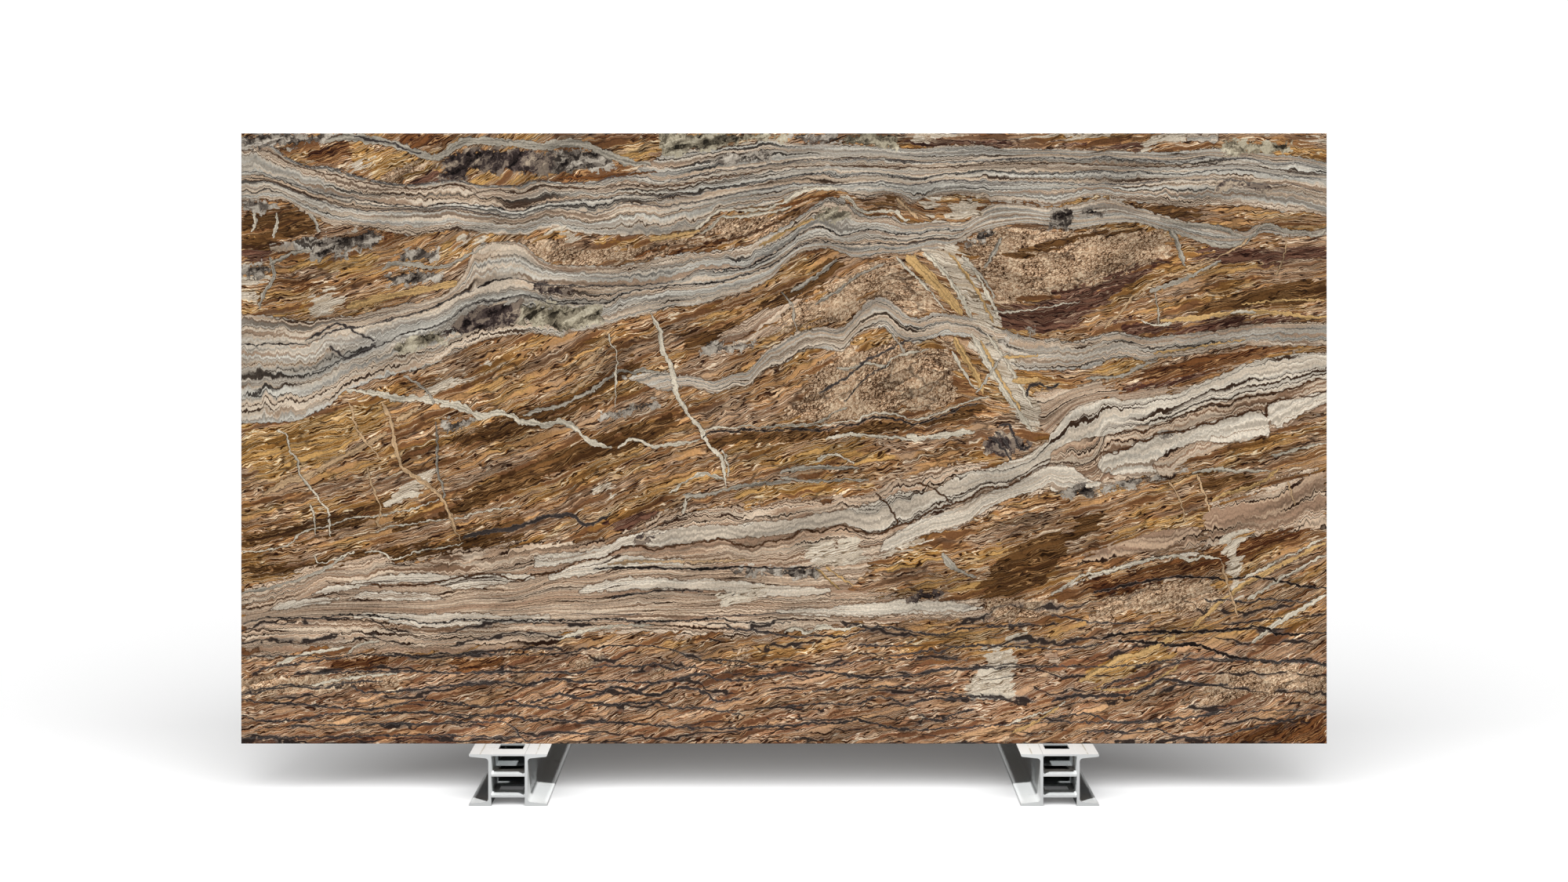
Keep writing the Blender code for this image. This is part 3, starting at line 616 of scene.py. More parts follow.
    Tint.WHITE: """
2.6 1.6 30 101 40 99.5 45 98.7 50 98.7 54 98 58 97 62 96.5 67 94 70 93.5 73 94.3 77 93.8 79 92.5 82 91.8
 87 91 90 92 93 91.3 96 89.5 98 87.5 100 86 103 85 106 84.5
1.2 1.2 107 84 109 85.5 111 87 114 86.3 117 85 121 85.3 128 86 131 87
1.8 1.3 117 123 118.5 120 119.5 117.5 120 113 122 109.5 123 106 124 102 125 98.5 127 95.5 129 92.5 131 90
 133 86 136.5 82 137.5 78.5 138.5 72.5
0.8 0.6 137 84 138.5 80 139 76
0.55 0.5 105 117 105.5 114 107 112 107.5 108.5 107 105 107 101 107 96
0.7 0.6 10 89.5 12.5 88.5 13.5 86 14 83 16 81 16.5 77 18 75 20 72.5 23 68.5 25 66 25 62 25.5 59
0.5 0.4 19.5 68.5 20.5 65 21.3 59.5
0.45 0.4 15 58 16.5 59.8 19 61 25 62 28 63.3 31 64.5 40 65 44 66 48 66.7 52 68 57 70
0.45 0.4 38 60.5 42 61.7 50 63 58 64 62 64.3 66 65.5 70 66.5 80 67.8
0.45 0.4 0 55 5 54.8 13 56.5 17 60
0.45 0.4 21 54 22 51.5 26 52.5 33 55
0.45 0.4 35 54.5 40 54.8 43.5 52.5 49 54.5 57 56 64 57
0.6 0.55 131 88 134 90 137 90.5 141 90 144 91 148 90.3 157 90.7 167 90.9 171 92 176 92.1 178 93.6 181 94.4
 187 93.9 192 92.4 197 93.6 201 95.1 206 97.1 211 98.6 214 98.9
0.5 0.5 154 91 160 91 164 91.5 167 93 170 95 173 96
1.1 0.9 167 87 171 88 176 88.3 186 87.3 196 86.7
2 1.6 190 88 197 87.5 204 88.5 210 89
1 0.8 164 80.5 169 82.8 175 80
0.8 0.6 170 107.5 173 107 178 108.5 184 108 186 110 192 112 197 112.3
0.9 0.7 187 139 192 134 197 129 201 124
1.8 1.6 195 140.5 199 136.5 203 131.5 206 126.5 208.5 121.5
1.2 1 206 139.5 209 136 212 131 214.5 125.5 216.5 121
0.9 0.7 203 112 206.5 106 208.5 102 211 101.2
1.8 1.5 208.5 117 213 109 217.5 101.5 222 95 226 89
1.2 1 213 117 218 110 222 103 226 96
0.6 0.4 214 123.3 220 123.4 228 124.4 240 126.4
0.8 0.6 257 121 260 119.6 263 119.7 266 120.4
0.8 0.6 282 122.6 286 123.4 290 123.2
0.9 0.8 231 42 234 44 237 46 240 48 249 49.5 253 51 258 52 263 53 268 53.3 271 52.5 275 53.3 280 52.5
0.9 0.8 287 41 292 44 297 47 303 50.5 310 54
0.8 0.6 286 47 298 53 310 59
0.9 0.7 271 77 275 78 279 78.5 285 78 294 78
0.9 0.7 294 82 302 84 310 86
1.2 1.6 288.5 28.5 292 31.3 296 34.3 301 37.4 306 40 310 42.6
0.6 0.4 218 4.5 224 7.5 230 9 236 12.4
0.9 0.8 122 71.5 126 74 132 77 138 75
0.9 0.7 127 70 126.5 67.5 126 65.5
0.8 0.6 4 151.5 4 149 3.5 147 2.5 145.5
0.8 0.6 9 144.5 10 148 10 152
0.9 0.8 129 146 132 149 135 151 137 152.3 147 152.5 152 153.5 157 155.5
0.9 0.8 131 145.5 134 147.5 137 150.5 141 150.5 151 151.8 157 153.5
1.3 1.1 155 155 158 157 162 158.3 166 158.8 170 158.5
1.1 0.9 171 156.5 174 155.5 176 153 179 151.8 183 152.2 187 152 189 150 191 149.3
0.5 0.4 261 129 262 124 262 120
1 0.8 155 31.5 158 33 162 31.5 166 33.5 171 32.5 178 34
0.9 0.8 90 29.5 97 32 106 33.5 118 34
0.9 0.8 20 16.5 30 18.5 45 20
1.2 1 10 22.5 18 25.5 30 27.5
0.8 0.6 30 25.5 34 28.5 40 29
""",
}

# The grey ribbons: their left end where it is traced, the planes above and below, the first and last x
RIBBONS = (
    ((), "a0", "a6", -3, 124),
    (((108, 161), (114, 164.4)), "branch", "a6", 121, 313),
    ((), "b0", "b6", -3, 313),
    (((108, 104.8),), "e0", "e1", 121, 313),
)

# The hairlines that follow bedding planes: tint, width at the start and at the end, plane, first x, last x
BEDDING_SEAMS = (
    (Tint.SLATE, 0.16, 0.14, "a0", 0, 310),
    (Tint.BROWN, 0.20, 0.14, "a1", 0, 310),
    (Tint.BLACK, 0.20, 0.12, "a3", 0, 310),
    (Tint.SLATE, 0.14, 0.16, "a4", 0, 310),
    (Tint.SLATE, 0.24, 0.24, "b3", 19, 67),
    (Tint.BLACK, 0.40, 0.30, "b3", 67, 78),
    (Tint.SLATE, 0.20, 0.20, "b3", 78, 125),
    (Tint.BLACK, 0.30, 0.24, "b3", 125, 208),
    (Tint.BLACK, 0.24, 0.20, "b5", 20, 205),
    (Tint.SLATE, 0.26, 0.26, "foot3", 225, 310),
    (Tint.SLATE, 0.20, 0.20, "foot1", 200, 310),
)


def linear(hexcode: str) -> tuple[float, float, float, float]:
    """A colour for a shader from its screen code, by the sRGB curve.

    Args:
        hexcode: The colour as a hash and six hexadecimal digits.

    Returns:
        Linear red, green and blue, and an alpha of one.
    """
    channels = []
    for start in (1, 3, 5):
        level = int(hexcode[start:start + 2], 16) / 255
        channels.append(level / 12.92 if level <= 0.04045 else ((level + 0.055) / 1.055) ** 2.4)
    return (*channels, 1.0)


def table_rows(table: str) -> list[list[str]]:
    """The words of each row of a table, in which a line that starts with a space goes on with a row."""
    return [row.split() for row in table.strip().replace("\n ", " ").split("\n")]


def points(words: list[str], size: int = 2) -> np.ndarray:
    """Numbers that are written one after another as an array, with this many of them to a row."""
    return np.array([float(word) for word in words]).reshape(-1, size)


def rounded(route: np.ndarray, steps: int = 4) -> np.ndarray:
    """A route made smooth with a Catmull-Rom spline through its points.

    Args:
        route: The points, one in each row.
        steps: How many pieces each stretch is cut into.

    Returns:
        The points of the smooth route.
    """
    if len(route) < 3:
        return route
    ends = np.vstack([2 * route[0] - route[1], route, 2 * route[-1] - route[-2]])
    smooth = []
    for before, start, end, after in zip(ends, ends[1:], ends[2:], ends[3:]):
        for share in np.arange(steps) / steps:
            bend = 2 * before - 5 * start + 4 * end - after
            twist = 3 * start - before - 3 * end + after
            smooth.append(start + 0.5 * share * (end - before + share * (bend + share * twist)))
    smooth.append(route[-1])
    return np.array(smooth)


def patch_field(trio: tuple[Kind, ...]) -> str:
    """The name of the attribute with the depths inside the patches of three kinds."""
    return "patch_" + trio[0].name.lower()


def vein_field(layer: int) -> str:
    """The name of the attribute with the veins of a layer."""
    return f"veins_{layer}"


def put(name: str, data: bpy.types.ID) -> bpy.types.Object:
    """Adds an object to the scene.

    Args:
        name: Its name.
        data: Its mesh, light or camera.

    Returns:
        The object.
    """
    thing = bpy.data.objects.new(name, data)
    bpy.context.scene.collection.objects.link(thing)
    return thing


@dataclass(frozen=True)
class Wire:
    """A value in a material's nodes. Arithmetic on it adds Math nodes."""

    graph: "NodeGraph"
    socket: bpy.types.NodeSocket

    def __add__(self, other: "Number") -> "Wire":
        """The sum."""
        return self.graph.maths("ADD", self, other)

    __radd__ = __add__

    def __sub__(self, other: "Number") -> "Wire":
        """The difference."""
        return self.graph.maths("SUBTRACT", self, other)

    def __rsub__(self, other: "Number") -> "Wire":
        """The difference the other way round."""
        return self.graph.maths("SUBTRACT", other, self)

    def __mul__(self, other: "Number") -> "Wire":
        """The product."""
        return self.graph.maths("MULTIPLY", self, other)

    __rmul__ = __mul__

    def __abs__(self) -> "Wire":
        """The size without the sign."""
        return self.graph.maths("ABSOLUTE", self)


Number = Wire | float | int


class NodeGraph:
    """The nodes of one material, written as expressions."""

    def __init__(self, name: str) -> None:
        """Starts a material with its Principled shader and its output.

        Args:
            name: The material's name.
        """
        self.material = bpy.data.materials.new(name)
        self.material.use_nodes = True
        self.tree = self.material.node_tree
        self.shader = self.tree.nodes["Principled BSDF"]

    @staticmethod
    def _find(sockets: bpy.types.bpy_prop_collection, key: str | int) -> bpy.types.NodeSocket:
        """Finds a socket.

        Args:
            sockets: A node's inputs or outputs.
            key: The socket's number or identifier.

        Returns:
            The socket.
        """
        if isinstance(key, int):
            return sockets[key]
        return next(socket for socket in sockets if socket.identifier == key)

    def node(self, kind: str, settings: dict, inputs: dict, output: str | int = 0) -> Wire:
        """Adds a node.

        Args:
            kind: The node's type.
            settings: Its properties, set first. The stops of a ramp go under the name stops.
            inputs: Wires or plain values for its sockets, by number or identifier.
            output: Which of its outputs to return.

        Returns:
            The output.
        """
        node = self.tree.nodes.new(kind)
        for name, value in settings.items():
            if name == "stops":
                self._set_stops(node.color_ramp, value)
            else:
                setattr(node, name, value)
        for key, value in inputs.items():
            self._feed(self._find(node.inputs, key), value)
        return Wire(self, self._find(node.outputs, output))

    def _feed(self, socket: bpy.types.NodeSocket, value: object) -> None:
        """Links a wire to a socket, or sets a plain value on it.

        Args:
            socket: The input.
            value: The wire or the value.
        """
        if isinstance(value, Wire):
            self.tree.links.new(value.socket, socket)
        else:
            socket.default_value = value

    @staticmethod
    def _set_stops(ramp: bpy.types.ColorRamp, stops: list) -> None:
        """Gives a ramp its stops.

        Args:
            ramp: The ramp, which has two stops to begin with.
            stops: A place and a colour for each.
        """
        while len(ramp.elements) < len(stops):
            ramp.elements.new(0.5)
        for element, (place, colour) in zip(ramp.elements, stops):
            element.position = place
            element.color = colour

    def maths(self, operation: str, *values: Number) -> Wire:
        """Adds a Math node for an operation on one to three numbers."""
        return self.node("ShaderNodeMath", {"operation": operation}, dict(enumerate(values)))

    def step(self, value: Number, low: float, high: float) -> Wire:
        """A soft step that rises from 0 at low to 1 at high."""
        settings = {"interpolation_type": "SMOOTHSTEP"}
        return self.node("ShaderNodeMapRange", settings, {0: value, 1: low, 2: high})

    def limit(self, value: Number, low: float, high: float) -> Wire:
        """A value held between two limits."""
        return self.node("ShaderNodeClamp", {}, {0: value, 1: low, 2: high})

    def vector(self, x: Number, y: Number, z: Number) -> Wire:
        """A vector of three numbers."""
        return self.node("ShaderNodeCombineXYZ", {}, {0: x, 1: y, 2: z})

    def split(self, vector: Wire) -> tuple[Wire, ...]:
        """A vector's three numbers."""
        parts = self.node("ShaderNodeSeparateXYZ", {}, {0: vector}).socket.node
        return tuple(Wire(self, output) for output in parts.outputs)

    def attribute(self, name: str) -> tuple[Wire, ...]:
        """The three numbers of one of the mesh's vector attributes."""
        return self.split(self.node("ShaderNodeAttribute", {"attribute_name": name}, {}, "Vector"))

    def noise(self, place: Wire, scale: float, detail: float, rough: float = 0.55) -> Wire:
        """Cloudy noise about 0.5.

        Args:
            place: Where it is read.
            scale: How many features there are to a unit.
            detail: How many octaves of finer noise are added.
            rough: How strong the finer octaves are.

        Returns:
            The noise.
        """
        inputs = {"Vector": place, "Scale": scale, "Detail": detail, "Roughness": rough}
        return self.node("ShaderNodeTexNoise", {}, inputs)

    def grain(self, x: Number, y: Number, z: Number, detail: float, rough: float) -> Wire:
        """Noise read at three numbers, each already counted in features."""
        return self.noise(self.vector(x, y, z), 1.0, detail, rough)

    def dots(self, place: Wire, scale: float) -> Wire:
        """The distance to the nearest of many strewn points, with a scale of them to a unit."""
        return self.node("ShaderNodeTexVoronoi", {"feature": "F1"}, {"Vector": place, "Scale": scale})

    def mosaic(self, across: Wire, up: Wire) -> tuple[Wire, Wire]:
        """Irregular flat cells, one to a unit.

        Args:
            across: The first coordinate.
            up: The second.

        Returns:
            A random number for each cell, and the distance to the cell's edge.
        """
        inputs = {"Vector": self.vector(across, up, 0.0), "Scale": 1.0}
        kind = "ShaderNodeTexVoronoi"
        flat = {"voronoi_dimensions": "2D"}
        tone = self.node(kind, {**flat, "feature": "F1"}, inputs, "Color")
        edge = self.node(kind, {**flat, "feature": "DISTANCE_TO_EDGE"}, inputs, "Distance")
        return self.split(tone)[0], edge

    def ramp(self, value: Wire, stops: list) -> Wire:
        """A colour from a ramp of places and colours."""
        return self.node("ShaderNodeValToRGB", {"stops": stops}, {0: value})

    def blend(self, factor: Number, first: Wire | tuple, second: Wire | tuple, how: str = "MIX") -> Wire:
        """Two colours mixed, or blended another way.

        Args:
            factor: How much of the second shows.
            first: The colour underneath.
            second: The colour on top.
            how: The way they blend.

        Returns:
            The colour.
        """
        settings = {"data_type": "RGBA", "blend_type": how}
        inputs = {"Factor_Float": factor, "A_Color": first, "B_Color": second}
        return self.node("ShaderNodeMix", settings, inputs, "Result_Color")

    def shade(self, colour: Wire, light: Wire) -> Wire:
        """A colour made darker or lighter by a number."""
        return self.blend(1.0, colour, self.vector(light, light, light), "MULTIPLY")

    def bump(self, height: Wire, strength: float, distance: float) -> Wire:
        """A normal from a height, with the distance in metres."""
        return self.node("ShaderNodeBump", {}, {"Strength": strength, "Distance": distance, "Height": height})

    def dress(self, inputs: dict) -> bpy.types.Material:
        """Gives the Principled shader its values and links.

        Args:
            inputs: Wires or constants by the name of the socket.

        Returns:
            The finished material.
        """
        for name, value in inputs.items():
            self._feed(self.shader.inputs[name], value)
        return self.material


@dataclass(frozen=True)
class Face:
    """The slab's face and the grid of points that carries its pattern, in centimetres."""

    width: float
    height: float
    across: int = 308
    up: int = 292

    @property
    def columns(self) -> np.ndarray:
        """The x of each column of points."""
        return np.linspace(0, self.width, self.across + 1)

    @property
    def rows(self) -> np.ndarray:
        """The z of each row of points."""
        return np.linspace(0, self.height, self.up + 1)

    def blank(self, value: float, *counts: int) -> np.ndarray:
        """A grid, or a stack of this many, with one value at every point."""
        return np.full((*counts, self.up + 1, self.across + 1), value)

    def window(self, low: np.ndarray, high: np.ndarray, reach: float) -> tuple[slice, slice]:
        """The part of the grid near a box.

        Args:
            low: The box's lower left corner.
            high: Its upper right corner.
            reach: How far past the box to go.

        Returns:
            Slices of rows and of columns.
        """
        spans = []
        for axis, (size, count) in enumerate(((self.width, self.across), (self.height, self.up))):
            first = math.floor((low[axis] - reach) / size * count)
            last = math.ceil((high[axis] + reach) / size * count)
            spans.append(slice(min(max(first, 0), count), min(max(last, 0), count) + 1))
        return spans[1], spans[0]


class Bedding:
    """The bedding planes, and how far up through the beds each point of the face lies."""

    TOP = 184.0
    BOTTOM = -4.0
    LEAST_GAP = 0.1
    STRIDE = 1.5
    SLACK = 0.1

    def __init__(self, face: Face) -> None:
        """Spreads the traced planes over the columns of the face.

        Args:
            face: The slab's face.
        """
        self.face = face
        heights = [np.full(face.across + 1, self.TOP)]
        self.planes = {}
        for name, *words in table_rows(BEDDING):
            route = rounded(points(words))
            height = np.interp(face.columns, route[:, 0], route[:, 1])
            heights.append(np.minimum(height, heights[-1] - self.LEAST_GAP))
            self.planes[name] = heights[-1]
        heights.append(np.full(face.across + 1, self.BOTTOM))
        self.stack = np.array(heights)[::-1]

    def level(self) -> np.ndarray:
        """Flattens the beds.

        Returns:
            The height of each point in a stack of flat beds of the same mean thickness.
        """
        means = self.stack.mean(axis=1)
        columns = [np.interp(self.face.rows, column, means) for column in self.stack.T]
        return np.array(columns).T

    def route(self, plane: str, first: float, last: float) -> np.ndarray:
        """A stretch of a plane as a route, from the first x to the last."""
        x = np.arange(first, last + self.SLACK, self.STRIDE)
        return np.column_stack([x, np.interp(x, self.face.columns, self.planes[plane])])

    def ribbon(self, above: str, below: str, first: float, last: float) -> np.ndarray:
        """The outline of the stone between two planes, from the first x to the last."""
        return np.vstack([self.route(above, first, last), self.route(below, first, last)[::-1]])


class Foliation:
    """Coordinates along and across the foliation of the brown stone."""

    SPACING = 2.0
    ROUNDS = 700
    OVER_RELAX = 1.85
    SMOOTHING = 30
    UPRIGHT = 2
    FALL = 1.6

    def __init__(self, face: Face) -> None:
        """Spreads the traced directions over a coarse grid.

        Args:
            face: The slab's face.
        """
        self.face = face
        self.x = np.arange(-self.SPACING, face.width + 2 * self.SPACING, self.SPACING)
        self.z = np.arange(-self.SPACING, face.height + 2 * self.SPACING, self.SPACING)
        across, up = np.meshgrid(self.x, self.z)
        weights = np.zeros_like(across)
        turn = np.zeros_like(across)
        for x, z, degrees in points(FOLIATION.split(), 3):
            off = self.SMOOTHING + (across - x) ** 2 + self.UPRIGHT * (up - z) ** 2
            weight = 1 / off**self.FALL
            weights += weight
            turn += weight * math.radians(degrees)
        self.angle = turn / weights

    def _potential(self, slope_x: np.ndarray, slope_z: np.ndarray) -> np.ndarray:
        """Finds a height whose slopes come as near as they can to given ones, by relaxation.

        Args:
            slope_x: The slopes along x at each point of the coarse grid.
            slope_z: The slopes along z.

        Returns:
            The height at each point.
        """
        step_x = (slope_x[:, 1:] + slope_x[:, :-1]) * self.SPACING / 2
        step_z = (slope_z[1:] + slope_z[:-1]) * self.SPACING / 2
        height = np.zeros_like(slope_x)
        height[:, 1:] = np.cumsum(step_x, axis=1)
        count = np.zeros_like(height)
        count[:, 1:] += 1
        count[:, :-1] += 1
        count[1:] += 1
        count[:-1] += 1
        square = np.indices(height.shape).sum(axis=0) % 2
        for turn in range(2 * self.ROUNDS):
            total = np.zeros_like(height)
            total[:, 1:] += height[:, :-1] + step_x
            total[:, :-1] += height[:, 1:] - step_x
            total[1:] += height[:-1] + step_z
            total[:-1] += height[1:] - step_z
            change = (total / count - height) * self.OVER_RELAX
            height += np.where(square == turn % 2, change, 0)
        return height

    def _on_face(self, coarse: np.ndarray) -> np.ndarray:
        """Values of the coarse grid read at each point of the face."""
        lines = np.array([np.interp(self.face.columns, self.x, row) for row in coarse])
        return np.array([np.interp(self.face.rows, self.z, column) for column in lines.T]).T

    def coordinates(self) -> list[np.ndarray]:
        """How far along and how far across the foliation each point of the face lies."""
        cosine, sine = np.cos(self.angle), np.sin(self.angle)
        return [self._on_face(self._potential(*slopes)) for slopes in ((cosine, sine), (-sine, cosine))]


class Patches:
    """For each kind of stone, how far inside its nearest patch each point of the face lies."""

    REACH = 4.0
    TINY = 1e-9

    def __init__(self, face: Face, bedding: Bedding) -> None:
        """Measures the patches.

        Args:
            face: The slab's face.
            bedding: The planes that bound the ribbons.
        """
        self.face = face
        self.depth = {kind: face.blank(-self.REACH) for kind in Kind}
        for kind, table in PATCHES.items():
            for words in table_rows(table):
                self._add(kind, points(words))
        for start, above, below, first, last in RIBBONS:
            self._add(Kind.GREY, np.array([*start, *bedding.ribbon(above, below, first, last)]))

    def _add(self, kind: Kind, outline: np.ndarray) -> None:
        """Joins a closed outline to the patches of its kind.

        Args:
            kind: The kind of stone.
            outline: The points, one in each row.
        """
        window = self.face.window(outline.min(axis=0), outline.max(axis=0), self.REACH)
        x, z = np.meshgrid(self.face.columns[window[1]], self.face.rows[window[0]])
        inside = np.zeros(x.shape, dtype=bool)
        distance = np.full(x.shape, self.REACH)
        for start, end in zip(outline, np.roll(outline, -1, axis=0)):
            run = end - start
            off_x, off_z = x - start[0], z - start[1]
            rises = (start[1] > z) != (end[1] > z)
            slope = run[1] if run[1] else self.TINY
            inside ^= rises & (x < run[0] * off_z / slope + start[0])
            share = np.clip((off_x * run[0] + off_z * run[1]) / max(run @ run, self.TINY), 0, 1)
            distance = np.minimum(distance, np.hypot(off_x - share * run[0], off_z - share * run[1]))
        depth = np.where(inside, distance, -distance)
        self.depth[kind][window] = np.maximum(self.depth[kind][window], depth)


@dataclass(frozen=True)
class Vein:
    """One vein or seam on the face."""

    tint: Tint
    start_width: float
    end_width: float
    route: np.ndarray

    def half_width(self, place: np.ndarray, tip: float = 0.45, taper: float = 6.0) -> np.ndarray:
        """Half the width of the vein, which is drawn out to a tip at both ends.

        Args:
            place: Where along the vein, as a share of its length.
            tip: The share of the width that is left at the ends.
            taper: How fast the vein grows from there.

        Returns:
            The half width at each place.
        """
        width = self.start_width + (self.end_width - self.start_width) * place
        return width / 2 * np.minimum(1, tip + taper * np.minimum(place, 1 - place))


class VeinLayers:
    """Veins shared out over layers, so that those of one layer keep clear of each other."""

    COUNT = 5
    REACH = 5.0
    ROOM = 1.5
    END_SLACK = 0.15
    SIDE_SLACK = 0.08
    TINY = 1e-6
    NONE = -1.0

    def __init__(self, face: Face, bedding: Bedding) -> None:
        """Gathers the veins and shares them out.

        Args:
            face: The slab's face.
            bedding: The planes that some seams follow.
        """
        self.face = face
        self.side = face.blank(self.REACH, self.COUNT)
        self.half = face.blank(self.NONE, self.COUNT)
        self.tone = face.blank(0.5, self.COUNT)
        self.taken = np.zeros((self.COUNT, int(face.height) + 3, int(face.width) + 3), dtype=bool)
        veins = []
        for tint, start, end, plane, first, last in BEDDING_SEAMS:
            veins.append(Vein(tint, start, end, bedding.route(plane, first, last)))
        for tint, table in VEINS.items():
            for start, end, *words in table_rows(table):
                veins.append(Vein(tint, float(start), float(end), rounded(points(words))))
        veins.sort(key=lambda vein: -len(vein.route) * vein.start_width)
        for vein in veins:
            self._draw(vein, self._free_layer(vein))

    def _free_layer(self, vein: Vein) -> int:
        """Finds the layer where a vein meets the fewest others, and marks it as taken along the vein.

        Args:
            vein: The vein.

        Returns:
            The layer's number.
        """
        length = np.hypot(*np.diff(vein.route, axis=0).T).sum()
        shares = np.linspace(0, len(vein.route) - 1, max(int(length), 2))
        places = [np.interp(shares, np.arange(len(vein.route)), line) for line in vein.route.T]
        _, height, width = self.taken.shape
        column, row = (np.clip(place + 1, 0, size - 1).astype(int)
                       for place, size in zip(places, (width, height)))
        clashes = [self.taken[layer, row, column].sum() for layer in range(self.COUNT)]
        layer = int(np.argmin(clashes))
        room = math.ceil(self.ROOM + vein.start_width / 2)
        for x, z in zip(column, row):
            self.taken[layer, max(z - room, 0):z + room + 1, max(x - room, 0):x + room + 1] = True
        return layer

    def _draw(self, vein: Vein, layer: int) -> None:
        """Adds a vein to the distances, half widths and tones of a layer.

        Args:
            vein: The vein.
            layer: The layer's number.
        """
        cell_x = self.face.width / self.face.across
        cell_z = self.face.height / self.face.up
        last = len(vein.route) - 2
        for index, (start, end) in enumerate(zip(vein.route, vein.route[1:])):
            window = self.face.window(np.minimum(start, end), np.maximum(start, end), self.REACH)
            x, z = np.meshgrid(self.face.columns[window[1]], self.face.rows[window[0]])
            run = end - start
            length = max(math.hypot(*run), self.TINY)
            share = ((x - start[0]) * run[0] + (z - start[1]) * run[1]) / length**2
            held = np.clip(share, 0, 1)
            off_x = x - start[0] - held * run[0]
            off_z = z - start[1] - held * run[1]
            distance = np.hypot(off_x, off_z)
            turn = np.where(run[0] * off_z - run[1] * off_x >= 0, 1.0, -1.0)
            half = vein.half_width((index + held) / (last + 1))
            gate = (abs(run[1]) * cell_x + abs(run[0]) * cell_z) / length + self.SIDE_SLACK
            beyond = np.zeros(x.shape, dtype=bool)
            if index == 0:
                beyond |= share * length < -self.END_SLACK
            if index == last:
                beyond |= (share - 1) * length > self.END_SLACK
            half = np.where(beyond | (distance > half + gate), self.NONE, half)
            nearer = distance < np.abs(self.side[layer][window]) - self.TINY
            drawn = ((self.side, turn * distance), (self.half, half), (self.tone, vein.tint.value))
            for field, values in drawn:
                field[layer][window] = np.where(nearer, values, field[layer][window])


